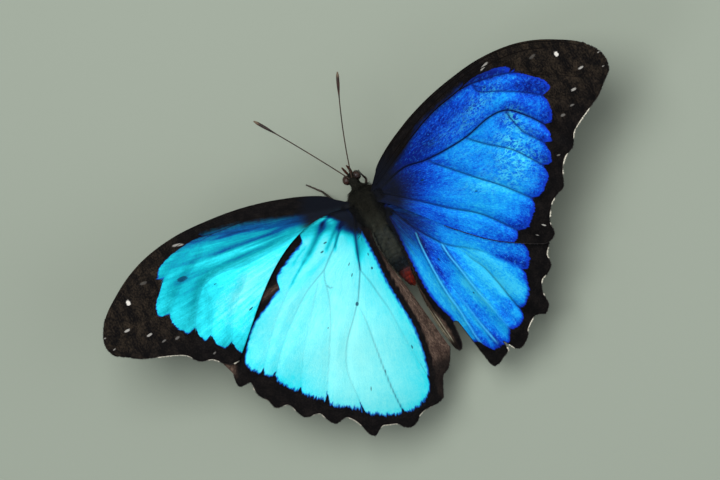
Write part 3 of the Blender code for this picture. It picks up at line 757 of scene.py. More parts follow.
def tufts(roots, lie, normal, length, width, rise, curl, seed, flat=0.45):
    """Points and faces of solid tufts, one for each root: three rings of three points and a tip
    along a curve that leaves the skin between normal and lie (the share rise), bends towards lie
    (the share curl), and narrows to the tip."""
    draw = np.random.default_rng(seed)
    count = len(roots)
    length, width = np.broadcast_to(length, count)[:, None], np.broadcast_to(width, count)[:, None]
    side = unit(np.cross(lie, normal))
    lean = draw.normal(0, 0.16, (count, 1))
    heading = unit(lie + lean * side)
    leave = unit(heading * (1 - rise) + normal * rise)
    settle = unit(leave * (1 - curl) + heading * curl - 0.10 * normal)
    base = roots - normal * 0.05
    q = np.array(TUFT_SHARES)[:, None, None]
    axis = base + leave * length * (q - q * q * 0.5) + settle * length * q * q * 0.5
    side = unit(np.cross(heading, normal))
    over = np.cross(side, heading)
    around = np.array([[-1.0, -0.35], [1.0, -0.35], [0.0, 0.9]])
    ring = around[:, :1] * side[:, None] + flat * around[:, 1:] * over[:, None]
    swell = np.array([0.75, 1.0, 0.62])[:, None, None, None]
    rings = axis[:3, :, None] + swell * width[:, None] * ring
    rings = rings.transpose(1, 0, 2, 3).reshape(count, 9, 3)
    points = np.concatenate([rings, axis[3][:, None]], axis=1)
    first = np.arange(count)[:, None, None] * TUFT_POINTS
    pairs = [(a + k, a + (k + 1) % 3) for a in (0, 3) for k in range(3)]
    walls = np.array([[k, n, n + 3, k + 3] for k, n in pairs])
    point = np.array([[6, 7, 9], [7, 8, 9], [8, 6, 9], [2, 1, 0]])
    return points.reshape(-1, 3), [(first + walls).reshape(-1, 4), (first + point).reshape(-1, 3)]


def tuft_map(places):
    """A small patch for each tuft at its root's place on the skin's own chart."""
    around = np.arange(TUFT_POINTS) * 2 * math.pi / TUFT_POINTS
    patch = TUFT_PATCH * np.stack([np.cos(around), np.sin(around)], axis=1)
    patch[-1] = 0
    return (places[:, None] + patch).reshape(-1, 2)


def per_tuft(values):
    """One value for each tuft, as one for each of its points."""
    return np.repeat(values, TUFT_POINTS)


def bristle_places(draw, path, radii, at, depth):
    """For bristles on a rod at the path's points numbered at: the rod's direction, a drawn
    direction square to it, and the roots, at the share depth of the rod's radius."""
    tangent = unit(np.gradient(path, axis=0))[at]
    spin = unit(np.cross(tangent, draw.normal(0, 1, (len(at), 3))))
    return tangent, spin, path[at] + spin * radii[at][:, None] * depth


# ---- Materials


def srgb(red, green, blue):
    """A colour given as 0 to 255 display values, as linear light."""
    values = np.array([red, green, blue]) / 255
    line = np.where(values <= 0.04045, values / 12.92, ((values + 0.055) / 1.055) ** 2.4)
    return (*map(float, line), 1.0)


class Net:
    """A short way to write a node tree: each method adds a node and returns its output."""

    def __init__(self, tree):
        self.tree = tree

    def add(self, kind, *values, **settings):
        node = self.tree.nodes.new(kind)
        for setting, value in settings.items():
            setattr(node, setting, value)
        for socket, value in zip(node.inputs, values):
            self.put(socket, value)
        return node

    def put(self, socket, value):
        if isinstance(value, bpy.types.NodeSocket):
            self.tree.links.new(value, socket)
        elif value is not None:
            socket.default_value = value

    def math(self, operation, *values, clamp=False):
        return self.add("ShaderNodeMath", *values, operation=operation, use_clamp=clamp).outputs[0]

    def plus(self, first, second, clamp=False):
        return self.math("ADD", first, second, clamp=clamp)

    def minus(self, first, second, clamp=False):
        return self.math("SUBTRACT", first, second, clamp=clamp)

    def times(self, first, second, clamp=False):
        return self.math("MULTIPLY", first, second, clamp=clamp)

    def away(self, first, second):
        """How far apart two values are."""
        return self.math("ABSOLUTE", self.minus(first, second))

    def smooth(self, value, low, high, to_low=0.0, to_high=1.0):
        node = self.add("ShaderNodeMapRange", value, low, high, to_low, to_high)
        node.interpolation_type = "SMOOTHSTEP"
        return node.outputs[0]

    def blend(self, share, first, second):
        node = self.add("ShaderNodeMix", data_type="RGBA", blend_type="MIX", clamp_factor=True)
        for socket, value in ((0, share), (6, first), (7, second)):
            self.put(node.inputs[socket], value)
        return node.outputs[2]

    def ramp(self, value, *stops):
        node = self.add("ShaderNodeValToRGB", value)
        ramp = node.color_ramp
        while len(ramp.elements) < len(stops):
            ramp.elements.new(0.5)
        for element, (place, colour) in zip(ramp.elements, stops):
            element.position = place
            element.color = colour
        return node.outputs[0]

    def mark(self, name):
        return self.add("ShaderNodeAttribute", attribute_name=name).outputs["Fac"]

    def place(self, *stretch):
        """Object coordinates in millimetres, stretched along each axis."""
        source = self.add("ShaderNodeTexCoord").outputs["Object"]
        scale = tuple(k / MM for k in stretch or (1, 1, 1))
        return self.add("ShaderNodeMapping", source, None, None, scale).outputs[0]

    def rays(self, across=1.0, along=1.0):
        """A wing's chart of rays, in millimetres, stretched across them and along them."""
        source = self.add("ShaderNodeUVMap", uv_map="Rays").outputs[0]
        return self.add("ShaderNodeMapping", source, None, None, (across, along, 1)).outputs[0]

    def noise(self, place, scale, detail, rough):
        return self.add("ShaderNodeTexNoise", place, None, scale, detail, rough).outputs[0]

    def cells(self, place, scale, feature="F1"):
        """The outputs of a pattern of cells."""
        node = self.add("ShaderNodeTexVoronoi", feature=feature)
        self.put(node.inputs["Vector"], place)
        node.inputs["Scale"].default_value = scale
        return node.outputs


def new_group(name, sockets_in, sockets_out):
    """An empty shader group with its sockets, and a Net to fill it."""
    group = bpy.data.node_groups.new(name, "ShaderNodeTree")
    for label, kind, value in sockets_in:
        socket = group.interface.new_socket(label, in_out="INPUT", socket_type=kind)
        if value is not None:
            socket.default_value = value
    for label, kind in sockets_out:
        group.interface.new_socket(label, in_out="OUTPUT", socket_type=kind)
    net = Net(group)
    inside = group.nodes.new("NodeGroupInput").outputs
    outside = group.nodes.new("NodeGroupOutput").inputs
    return group, net, inside, outside


def group_in(net, group, **values):
    """A group placed in a material with its own values."""
    node = net.add("ShaderNodeGroup", node_tree=group)
    for label, value in values.items():
        net.put(node.inputs[label], value)
    return node.outputs


def scale_rows_group():
    """Rows of tiny overlapping scales: cells on a wing's chart of rays, with a value for each scale
    and a height for bump."""
    found = bpy.data.node_groups.get("Scale rows")
    if found:
        return found
    group, net, inside, outside = new_group(
        "Scale rows",
        [("Chart", "NodeSocketVector", None)],
        [("Grain", "NodeSocketFloat"), ("Height", "NodeSocketFloat")],
    )
    cell = net.cells(inside["Chart"], 1.0)
    tint = net.add("ShaderNodeSeparateColor", cell["Color"]).outputs[0]
    net.put(outside["Grain"], tint)
    bump = net.minus(1.0, cell["Distance"])
    net.put(outside["Height"], net.plus(bump, net.times(tint, 0.6)))
    return group


def mottle_group():
    """Uneven dark colour: two sizes of noise mixed into a lighter and a darker tone."""
    found = bpy.data.node_groups.get("Mottle")
    if found:
        return found
    group, net, inside, outside = new_group(
        "Mottle",
        [("Place", "NodeSocketVector", None), ("Dark", "NodeSocketColor", None),
         ("Light", "NodeSocketColor", None), ("Amount", "NodeSocketFloat", None)],
        [("Color", "NodeSocketColor")],
    )
    coarse = net.noise(inside["Place"], 0.4, 4.0, 0.6)
    fine = net.noise(inside["Place"], 2.6, 4.0, 0.7)
    both = net.plus(net.times(coarse, 0.45), net.times(fine, 0.55))
    share = net.smooth(both, 0.42, 0.68)
    share = net.times(share, inside["Amount"], clamp=True)
    net.put(outside["Color"], net.blend(share, inside["Dark"], inside["Light"]))
    return group


def mottle(net, place, dark, light, amount):
    """The colour of the mottle group, placed in a material."""
    return group_in(net, mottle_group(), Place=place, Dark=dark, Light=light, Amount=amount)["Color"]


def wing_rows(net):
    """The scale rows of a wing: about five scales to a millimetre across the rays."""
    return group_in(net, scale_rows_group(), Chart=net.rays(5.0, 3.2))


def new_material(name):
    """A material and its tree's Net and shader."""
    material = bpy.data.materials.new(name)
    material.use_nodes = True
    return material, Net(material.node_tree), material.node_tree.nodes["Principled BSDF"]


def finish_with(net, shader, colour, roughness, metallic, height=None, strength=None, distance=None,
                **fixed):
    """Feed the shader's colour, roughness and metallic value, and a bump from the height."""
    for label, value in (("Base Color", colour), ("Roughness", roughness), ("Metallic", metallic)):
        net.put(shader.inputs[label], value)
    for label, value in fixed.items():
        shader.inputs[label.replace("_", " ")].default_value = value
    if height is not None:
        bump = net.add("ShaderNodeBump", strength, distance)
        net.put(bump.inputs["Height"], height)
        net.put(shader.inputs["Normal"], bump.outputs[0])


# Palettes of the structural blue by side: the left's lighter cyan and the right's deeper blue are the same
# scales painted lit and in shade, and so are the two sides' rim and vein tints.
BLUES = {
    "right": ((0.0, srgb(3, 26, 122)), (0.3, srgb(5, 72, 208)), (0.58, srgb(12, 138, 243)),
              (0.82, srgb(26, 178, 252)), (1.0, srgb(60, 208, 255))),
    "left": ((0.0, srgb(2, 24, 70)), (0.25, srgb(2, 78, 136)), (0.5, srgb(6, 160, 174)),
             (0.72, srgb(42, 218, 232)), (1.0, srgb(146, 242, 241))),
}
BLUE_RIM = {"right": srgb(12, 56, 196), "left": srgb(10, 88, 186)}
VEIN_TINT = {"right": srgb(3, 14, 52), "left": srgb(6, 66, 112)}
# The painted highlight on ridges that catch the light.
RIDGE_HIGHLIGHT = srgb(84, 208, 255)
ROOT_TINT = srgb(11, 15, 24)
SCRATCH = srgb(84, 228, 252)
PALE_SPECKS = srgb(84, 206, 255)
FRONT_SHADE = srgb(4, 16, 44)
# The painted highlight on the inner strip's crinkles.
CREASE_HIGHLIGHT = srgb(246, 238, 205)
FLECK_DARK = srgb(8, 52, 84)
SPOT_WHITE = srgb(236, 232, 222)
# Scratches in the scuffs, as (turn in radians, size).
SCRATCHES = ((0.4, 0.45), (1.4, 0.6), (2.4, 0.75))


def upper_finish(side, hind, look):
    """Scale-covered upper side: structural blue by tone, a black-brown border with mottles, white
    spots, the hindwing's brown inner strip and front, and worn flecks, with painted shade beside
    the veins and at the root, and painted highlights on the ridges and the strip's crinkles."""
    material, net, shader = new_material(f"{side} {KINDS[hind]} upper")
    rays = net.rays()
    rows = wing_rows(net)
    streak = net.noise(net.rays(1.3, 0.12), 1.0, 5.0, 0.65)
    fine = net.noise(net.rays(1.6, 1.1), 1.0, 3.0, 0.7)
    blot = net.noise(rays, 0.42, 4.0, 0.62)
    tone = net.mark("tone")
    sources = {"streak": streak, "blot": blot, "fine": fine, "grain": rows["Grain"]}
    for source, pattern in sources.items():
        tone = net.plus(tone, net.times(net.minus(pattern, 0.5), look[source]))
    blue = net.ramp(tone, *BLUES[side])
    if look["scuff"] > 0:
        lines = 0.0
        for turn, size in SCRATCHES:
            spin = net.add("ShaderNodeMapping", rays, None, (0, 0, turn), (1.5 * size, 0.8 * size, 1))
            away = net.away(net.noise(spin.outputs[0], 1.0, 1.0, 0.5), 0.5)
            lines = net.math("MAXIMUM", lines, net.smooth(away, 0.034, 0.008))
        worn = net.smooth(net.noise(rays, 0.5, 3.0, 0.6), 0.35, 0.54)
        lines = net.times(lines, net.times(net.mark("scuff"), worn), clamp=True)
        blue = net.blend(net.times(lines, look["scuff"]), blue, SCRATCH)
    # Pale azure specks over the right wings' blue.
    specks = net.times(net.smooth(fine, 0.52, 0.74), look["specks"])
    blue = net.blend(specks, blue, PALE_SPECKS)
    depth = net.mark("depth")
    spiky = net.noise(net.rays(look["pitch"], 0.35), 1.0, 3.0, 0.65)
    ragged = net.times(net.minus(spiky, 0.5), look["teeth"])
    ragged = net.times(ragged, net.mark("jag"))
    edge = net.plus(depth, ragged)
    blue = net.blend(net.smooth(edge, look["rim"], 0.1), blue, BLUE_RIM[side])
    light = net.blend(net.mark("apex"), srgb(34, 29, 27), srgb(70, 59, 46))
    border = mottle(net, rays, srgb(4, 3, 4), light, 0.7)
    brown = mottle(net, net.rays(1.6, 0.5), srgb(58, 44, 38), srgb(140, 117, 101), 0.9)
    border = net.blend(net.mark("strip"), border, brown)
    # Painted highlights on the inner strip's crinkles.
    if look["crinkle_highlight"] > 0:
        crease = net.times(net.mark("crease"), net.smooth(fine, 0.35, 0.6, 0.35, 1.0))
        border = net.blend(net.times(crease, look["crinkle_highlight"]), border, CREASE_HIGHLIGHT)
    # Painted shade beside the veins over their own dark scales, and a painted highlight on the ridges that
    # catch the light.
    blue = net.blend(net.times(net.mark("shade"), 0.9), blue, VEIN_TINT[side])
    blue = net.blend(net.mark("ridge"), blue, RIDGE_HIGHLIGHT)
    front = net.plus(net.mark("front"), ragged)
    blue = net.blend(net.smooth(front, 2.4, -0.2, 0.0, 0.92), blue, FRONT_SHADE)
    covered = net.times(net.smooth(edge, -0.12, 0.2), net.smooth(front, -0.5, 0.7))
    colour = net.blend(covered, border, blue)
    fleck = net.plus(net.mark("fleck"), net.times(ragged, 0.6))
    colour = net.blend(net.smooth(fleck, 1.15, 0.75, 0.0, 0.85), colour, FLECK_DARK)
    spot = net.plus(net.mark("spot"), net.times(ragged, 1.1))
    white = net.times(net.smooth(spot, 1.2, 0.7), net.mark("spot_strength"))
    colour = net.blend(white, colour, SPOT_WHITE)
    # The dark root: the scales' own dark, and on the left wings partly painted shade.
    root = net.mark("root")
    soft = net.times(root, net.minus(1.0, root))
    broken = net.times(net.minus(streak, 0.5), net.times(soft, 7.0))
    root = net.plus(root, broken, clamp=True)
    colour = net.blend(root, colour, ROOT_TINT)
    shine = net.times(covered, look["metal"])
    shine = net.times(shine, net.minus(1.0, root))
    rough = net.minus(0.66, net.times(covered, 0.24))
    rough = net.plus(rough, net.times(rows["Grain"], 0.10))
    height = net.plus(rows["Height"], net.times(fine, 1.2))
    finish_with(net, shader, colour, rough, shine, height, 0.55, 0.00004, Specular_IOR_Level=0.08)
    return material


# An eyespot's rings, as (share of three radii, colour): white pupil, black, maroon, black, gold, brown.
EYESPOT_RINGS = (
    (0.0, srgb(244, 240, 228)), (0.05, srgb(240, 236, 224)), (0.08, srgb(20, 14, 14)),
    (0.20, srgb(16, 12, 14)), (0.23, srgb(96, 44, 40)), (0.255, srgb(16, 12, 14)),
    (0.275, srgb(206, 164, 84)), (0.325, srgb(196, 150, 76)), (0.335, srgb(44, 30, 22)),
    (0.36, srgb(90, 66, 46)),
)
CREAM = srgb(172, 154, 120)
# The pale bands' places from the root and the lines' places from the margin: middle, half width, and
# a share or a colour.
LOWER_BANDS = ((11.0, 0.8, 0.4), (19.5, 1.3, 0.6), (29.5, 0.7, 0.35))
LOWER_LINES = ((1.1, 0.26, CREAM), (2.3, 0.22, srgb(158, 92, 52)), (3.4, 0.3, CREAM))


def lower_finish(side, hind):
    """Underside: brown with pale bands, ringed eyespots and thin pale lines along the margin."""
    material, net, shader = new_material(f"{side} {KINDS[hind]} lower")
    rays = net.rays()
    rows = wing_rows(net)
    ground = mottle(net, rays, srgb(58, 41, 29), srgb(112, 86, 60), 0.8)
    waver = net.times(net.minus(net.noise(rays, 0.22, 4.0, 0.6), 0.5), 9.0)
    zone = net.plus(net.mark("zone"), waver)
    zone = net.plus(zone, net.times(net.mark("lobe"), 1.8))
    for middle, half, share in LOWER_BANDS:
        band = net.smooth(net.away(zone, middle), half + 0.8, half - 0.5, 0.0, share)
        ground = net.blend(band, ground, CREAM)
    dusk = net.smooth(net.mark("zone"), 34.0, 46.0, 0.0, 0.45)
    ground = net.blend(dusk, ground, srgb(48, 33, 25))
    rim = net.plus(net.mark("rim"), net.times(waver, 0.03))
    rim = net.minus(rim, net.times(net.mark("lobe"), 0.35))
    for middle, half, tint in LOWER_LINES:
        line = net.smooth(net.away(rim, middle), half + 0.2, half - 0.1, 0.0, 0.7)
        ground = net.blend(line, ground, tint)
    ring = net.mark("eyespot")
    spot = net.ramp(net.times(ring, 1 / 3), *EYESPOT_RINGS)
    colour = net.blend(net.smooth(ring, 1.1, 1.04), ground, spot)
    colour = net.blend(net.mark("root"), colour, srgb(34, 26, 20))
    light = net.times(net.minus(rows["Grain"], 0.5), 0.3)
    value = net.add("ShaderNodeHueSaturation", 0.5, 1.0, None, 1.0)
    net.put(value.inputs["Value"], net.plus(light, 1.0))
    net.put(value.inputs["Color"], colour)
    finish_with(net, shader, value.outputs[0], 0.62, 0.0, rows["Height"], 0.4, 0.00004,
                Specular_IOR_Level=0.25)
    return material


def vein_finish(side):
    """Wing veins: the blue beside them, darker in the shaded ones, pale where a ridge catches the
    light, near black in the border and brown below."""
    name = f"{side} veins"
    found = bpy.data.materials.get(name)
    if found:
        return found
    material, net, shader = new_material(name)
    grain = net.noise(net.place(), 5.0, 3.0, 0.6)
    tone = net.plus(net.mark("tone"), net.times(net.minus(grain, 0.5), 0.2))
    inside = net.smooth(net.mark("depth"), 1.0, 2.6)
    # Painted shade beside the veins over their own dark scales, and a painted highlight on the ridges.
    dark = net.times(net.mark("shade"), 0.96)
    tint = net.blend(dark, net.ramp(tone, *BLUES[side]), VEIN_TINT[side])
    tint = net.blend(net.mark("ridge"), tint, RIDGE_HIGHLIGHT)
    colour = net.blend(inside, srgb(8, 6, 6), tint)
    colour = net.blend(net.mark("root"), colour, ROOT_TINT)
    colour = net.blend(net.mark("under"), colour, srgb(84, 62, 42))
    shine = net.times(inside, 0.4)
    shine = net.times(shine, net.minus(1.0, net.mark("under"), clamp=True))
    shine = net.times(shine, net.minus(1.0, net.mark("ridge"), clamp=True))
    finish_with(net, shader, colour, 0.5, shine, grain, 0.3, 0.00003, Specular_IOR_Level=0.06)
    return material


def hair_finish():
    """Hair and the skin under it: near black, slate on the abdomen and olive along its top, paler at
    the tips, rust before the tail, and blue-black at the wings' roots."""
    found = bpy.data.materials.get("Body hair")
    if found:
        return found
    material, net, shader = new_material("Body hair")
    place = net.place()
    mottled = mottle(net, place, srgb(2, 3, 4), srgb(24, 25, 24), 0.9)
    slate = mottle(net, place, srgb(2, 5, 9), srgb(44, 57, 64), 0.8)
    tip = net.math("POWER", net.mark("along"), 1.6)
    mottled = net.blend(net.mark("slate"), mottled, slate)
    mottled = net.blend(net.mark("olive"), mottled, srgb(66, 69, 60))
    pale = net.times(net.plus(net.mark("tint"), tip), 0.14)
    pale = net.times(pale, net.minus(1.0, net.mark("blue_hair"), clamp=True))
    pale = net.times(pale, net.minus(1.2, net.mark("slate"), clamp=True))
    colour = net.blend(pale, mottled, srgb(104, 100, 82))
    colour = net.blend(net.mark("rust"), colour, srgb(138, 37, 18))
    colour = net.blend(net.mark("tan"), colour, srgb(168, 146, 112))
    colour = net.blend(net.mark("blue_hair"), colour, srgb(7, 11, 21))
    strand = net.noise(place, 9.0, 3.0, 0.6)
    finish_with(net, shader, colour, 0.62, 0.0, strand, 0.4, 0.00003, Specular_IOR_Level=0.14)
    return material


def shell_finish(name, dark, light, roughness):
    """Hard dark skin, as on legs and feelers: mottled, satin, finely pitted."""
    found = bpy.data.materials.get(name)
    if found:
        return found
    material, net, shader = new_material(name)
    place = net.place()
    colour = mottle(net, place, dark, light, 0.9)
    colour = net.blend(net.mark("pale"), colour, srgb(150, 128, 98))
    grain = net.noise(place, 3.0, 3.0, 0.6)
    rough = net.plus(net.times(grain, 0.2), roughness)
    finish_with(net, shader, colour, rough, 0.0, grain, 0.35, 0.00004)
    return material


def eye_finish():
    """Compound eye: dark brown under a glossy coat, with fine facets and soft darker bands."""
    found = bpy.data.materials.get("Compound eye")
    if found:
        return found
    material, net, shader = new_material("Compound eye")
    place = net.place()
    bands = net.noise(net.place(0.5, 0.3, 1.2), 1.1, 2.0, 0.5)
    colour = net.blend(net.smooth(bands, 0.4, 0.6), srgb(16, 9, 7), srgb(52, 28, 18))
    facets = net.cells(place, 13.0, "DISTANCE_TO_EDGE")["Distance"]
    height = net.smooth(facets, 0.0, 0.25)
    finish_with(net, shader, colour, 0.34, 0.0, height, 0.5, 0.00003, Coat_Weight=0.25,
                Coat_Roughness=0.15, Specular_IOR_Level=0.35)
    return material


# ---- Wings

WING_ROWS = 300
WING_RINGS = 150
SHOWN_ROOT = -0.015
# Half the wing's thickness at the margin, and how much more it is at the root.
MARGIN_HALF = 0.025
ROOT_EXTRA = 0.05
# The baking chart's side, and the reach at which the chart of rays is as wide as the wing.
CHART_SIZE = 150.0
RAY_REACH = 40
# Pale scuffs on the right forewing: out, fore, length along the ray, width, strength.
SCUFFS = (
    (38.5, -8, 3.2, 3.8, 1.4), (42.4, -0.8, 2.2, 2.3, 0.6), (38, 7.4, 4, 1.4, 0.6), (31, 4, 4, 1, 0.35),
    (32, -12, 4.5, 2.6, 0.5), (24.5, -10.5, 3.5, 1.2, 0.45), (26, 5.4, 4, 0.8, 0.2),
    (28, -2, 5, 1.6, 0.25),
)
# The brown sliver at the left hindwing's front, in the same terms.
SLIVER = ((28.4, -7.6, 2.4, 0.5, 0.8),)
# Where the inner strip's brown stops before the margin, in millimetres from the root.
STRIP_END = {"right": 34.5, "left": 37}


def even_rays(side, hind, count):
    """Values of s whose rays end evenly spaced along the margin."""
    s = np.linspace(0, 1, 2000)
    out, fore = flat_wing(side, hind, s, np.ones_like(s))
    run = np.concatenate([[0], np.cumsum(np.hypot(np.diff(out), np.diff(fore)) + 0.004)])
    return np.interp(np.linspace(0, run[-1], count), run, s)


def root_edge(angle):
    """How far the left hindwing's dark root reaches, further towards the front; that dark is partly
    painted shade.
    """
    return -0.8 + 2.4 * ease((angle + 80) / 50) + 3.2 * ease((angle + 40) / 75) + 6 * ease((angle - 31) / 20)


def wing_tone(side, hind, out, fore, nearest, depth):
    """How light the blue is: its base with soft patches, less in the streaks, painted light and shade
    on the two sides of each vein's pleat, darker towards the border and, on the left hindwing, deeper
    towards its dark root, partly painted shade."""
    tone = BLUE_BASE[side, hind] + patches(out, fore, hind, BLUE_PATCHES[side, hind])
    tone = tone - sum(stripes(out, fore, STREAKS[side, hind]))
    # Painted light and shade across each vein's pleat: lighter on one side, darker on the other.
    slope = 0.26 if side == "right" else 0.03
    tone = tone - slope * nearest * np.exp(-np.abs(nearest) / 0.9)
    inside = np.clip(depth, 0, None)
    if side == "right":
        return tone - (0.22 if hind else 0.26) * np.exp(-inside / (1.8 if hind else 2.6))
    angle, reach = polar(hind, out, fore)
    # Deeper blue towards the dark root, partly painted shade.
    tone = tone - 0.62 * hind * ease((root_edge(angle) + 2.9 - reach) / 3.4)
    return tone - 0.08 * np.exp(-inside / 1.8) - 0.04 * hind * np.exp(-inside / 5)


def root_dark(side, hind, angle, reach):
    """How dark the wing is near the root: its own dark hairy scales, and on the left wings partly
    painted shade.
    """
    if side == "right":
        return 0.84 * ease((17.2 - reach) / 12) if hind else 0.97 * ease((14.5 - reach) / 8.5)
    if not hind:
        return 0.97 * ease((15 - reach) / 4)
    return 0.97 * ease((root_edge(angle) - reach) / 3.4 + 0.5)


def wing_marks(side, hind, out, fore, nearest, shade, ridge):
    """Every marking of a wing as a value at each point."""
    angle, reach = polar(hind, out, fore)
    depth, front, jag = blue_depth(side, hind, out, fore, nearest)
    tone = wing_tone(side, hind, out, fore, nearest, depth)
    edge = monotone(wing_edge(side, hind), angle)
    marks = {"depth": depth, "front": front, "jag": jag, "tone": tone, "shade": shade, "ridge": ridge,
             "zone": reach, "rim": edge - reach, "lobe": np.exp(-np.abs(nearest) / 1.1)}
    marks["root"] = root_dark(side, hind, angle, reach)
    spots = () if hind else WHITE_SPOTS
    marks["spot"] = ovals(out, fore, hind, spots)
    strength = np.zeros(out.shape)
    for x, y, long, _, share in spots:
        strength = np.maximum(strength, share * (np.hypot(out - x, fore - y) < long + 1.2))
    marks["spot_strength"] = strength
    marks["fleck"] = ovals(out, fore, hind, FLECKS.get((side, hind), ()))
    rings = np.full(out.shape, 3.0)
    for degrees, far, radius in EYESPOTS[hind]:
        turn = math.radians(degrees)
        x, y = far * math.cos(turn), far * math.sin(turn) - setback(hind)
        rings = np.minimum(rings, np.hypot(out - x, fore - y) / radius)
    marks["eyespot"] = rings
    marks["scuff"] = reach * 0 if hind else np.clip(patches(out, fore, hind, SCUFFS), 0, 1)
    marks["strip"] = reach * 0
    if hind:
        inner = monotone(BLUE_INNER[side], -fore) - INNER_BORDER[side] - out
        strip = ease(inner / 0.7 + 0.3 * wave(11, out, fore, 1.5)) * (0.15 + 0.85 * ease((reach - 7) / 12))
        strip = strip * (1 - 0.9 * ease((reach - STRIP_END[side]) / 4))
        # A hindwing's front: the border's black for a few millimetres past the blue, then the brown costal
        # band; on the left hindwing that black is partly painted shadow under the torn forewing's edge.
        front = fore - monotone(BLUE_FRONT[side, True], out)
        costal = ease((front - 3.4) / 3.0) * 0.8 * ease((out - 8) / 8)
        sliver = patches(out, fore, hind, SLIVER) if side == "left" else 0
        marks["strip"] = np.maximum(np.maximum(strip, costal), sliver)
        # Where the painted highlights on the strip's crinkles lie.
        marks["crease"] = np.maximum.reduce(list(stripes(out, fore, CREASE_HIGHLIGHTS)))
    marks["apex"] = (0.2 if hind else 1.0) * ease((out - 38) / 14) * ease((fore + 12) / 14)
    return marks


def make_wing(side, hind, look):
    """A closed thin shell: one surface above the wing's middle surface and one below, sharing the
    veins' pleats, with half its thickness tapering from root to margin."""
    name = wing_name(side, hind)
    s = even_rays(side, hind, WING_ROWS)[:, None]
    t = np.linspace(SHOWN_ROOT, 1, WING_RINGS)[None, :]
    s, t = np.broadcast_arrays(s, t)
    out, fore = flat_wing(side, hind, s, t)
    rise, nearest, shade, ridge = vein_field(side, hind, out, fore)
    half = ROOT_EXTRA * (1 - t) + MARGIN_HALF
    upper = bent_wing(side, hind, out, fore, rise + half)
    lower = bent_wing(side, hind, out, fore, rise - half)
    count = WING_ROWS * WING_RINGS
    flip = side == "right"
    faces = [
        grid_faces(WING_ROWS, WING_RINGS, flip=flip),
        grid_faces(WING_ROWS, WING_RINGS, first=count, flip=not flip),
    ]
    index = np.arange(count).reshape(WING_ROWS, WING_RINGS)
    loop = np.concatenate([index[0], index[1:, -1], index[-1, -2::-1], index[-2:0:-1, 0]])
    after = np.roll(loop, -1)
    rim = np.stack([after, loop, loop + count, after + count], axis=1)
    faces.append(rim[:, ::-1] if flip else rim)
    marks = wing_marks(side, hind, out, fore, nearest, shade, ridge)
    marks = {mark: np.tile(values.ravel(), 2) for mark, values in marks.items()}
    angle, reach = polar(hind, out, fore)
    rays = np.stack([np.radians(angle).ravel() * RAY_REACH, reach.ravel()], axis=1)
    plan = np.stack([out.ravel() / CHART_SIZE + 0.1, fore.ravel() / CHART_SIZE + 0.5], axis=1)
    below = np.stack([1 - plan[:, 0], plan[:, 1] - 0.001], axis=1)
    maps = {"OFBake": np.concatenate([plan * (0.85, 1), below * (0.85, 1) + (0.14, 0)]),
            "Rays": np.tile(rays, (2, 1))}
    worn = np.zeros(sum(len(block) for block in faces))
    worn[len(faces[0]): len(faces[0]) + len(faces[1])] = 1
    finishes = [upper_finish(side, hind, look), lower_finish(side, hind)]
    add_piece(name + "_scales", np.concatenate([upper.reshape(-1, 3), lower.reshape(-1, 3)]), faces,
              finishes, (name,), marks, maps, worn)


VEIN_SIDES = 8
# Veins that branch off another one, and so start thin.
BRANCHES = ("first_cubital", "second_cubital", "third_medial", "second_medial", "fold", "hook")


def make_veins(side, hind):
    """The veins as slender flattened rods along the pleats, thicker at the root."""
    parts = []
    for vein, (width, _, points) in wing_veins(side, hind).items():
        if hind and vein == "anal":
            continue
        line = rounded_line(points, 300)
        angle, reach = polar(hind, line[:, 0], line[:, 1])
        line = line[reach < monotone(wing_edge(side, hind), angle) - 0.3]
        line = line[np.linspace(0, len(line) - 1, 70).astype(int)]
        out, fore = line[:, 0], line[:, 1]
        rise, _, shade, ridge = vein_field(side, hind, out, fore)
        path = bent_wing(side, hind, out, fore, rise + 0.02)
        along = np.linspace(0, 1, len(line))
        faint = side == "left" and vein != "cubital_stem"
        radii = (width * (1 - 0.5 * along) * 0.9 + 0.05) * (0.36 if faint else 0.6)
        radii[-6:] *= np.linspace(1, 0.3, 6)
        if vein in BRANCHES:
            radii[:8] *= np.linspace(0.35, 1, 8)
        shape, blocks = sweep(path, radii, VEIN_SIDES, flat=0.4 if faint else 0.6)
        far = np.full(len(out), 3.0)
        depth, front, _ = blue_depth(side, hind, out, fore, far)
        angle, reach = polar(hind, out, fore)
        ring = {"depth": np.minimum(depth, front), "root": root_dark(side, hind, angle, reach),
                "shade": shade, "ridge": ridge,
                "tone": wing_tone(side, hind, out, fore, far * 0, depth)}
        marks = {mark: per_ring(values, VEIN_SIDES) for mark, values in ring.items()}
        middle = per_ring(path[:, 2], VEIN_SIDES)
        marks["under"] = ease((middle - shape[:, 2]) / 0.03 + 0.5)
        parts.append((shape, blocks, marks))
    points, blocks, marks = joined(parts)
    name = wing_name(side, hind) + "_veins"
    add_piece(name, points, blocks, [vein_finish(side)], (), marks)


def fringe_finish():
    """Marginal scales: near black, white where the margin curves in."""
    found = bpy.data.materials.get("Fringe")
    if found:
        return found
    material, net, shader = new_material("Fringe")
    dark = mottle(net, net.place(), srgb(16, 12, 11), srgb(58, 46, 38), 0.7)
    colour = net.blend(net.mark("white"), dark, srgb(242, 236, 216))
    grain = net.noise(net.place(), 8.0, 2.0, 0.6)
    finish_with(net, shader, colour, 0.65, 0.0, grain, 0.3, 0.00003)
    return material


FRINGE_SCALES = 5000
FRINGE_STEPS = 6000


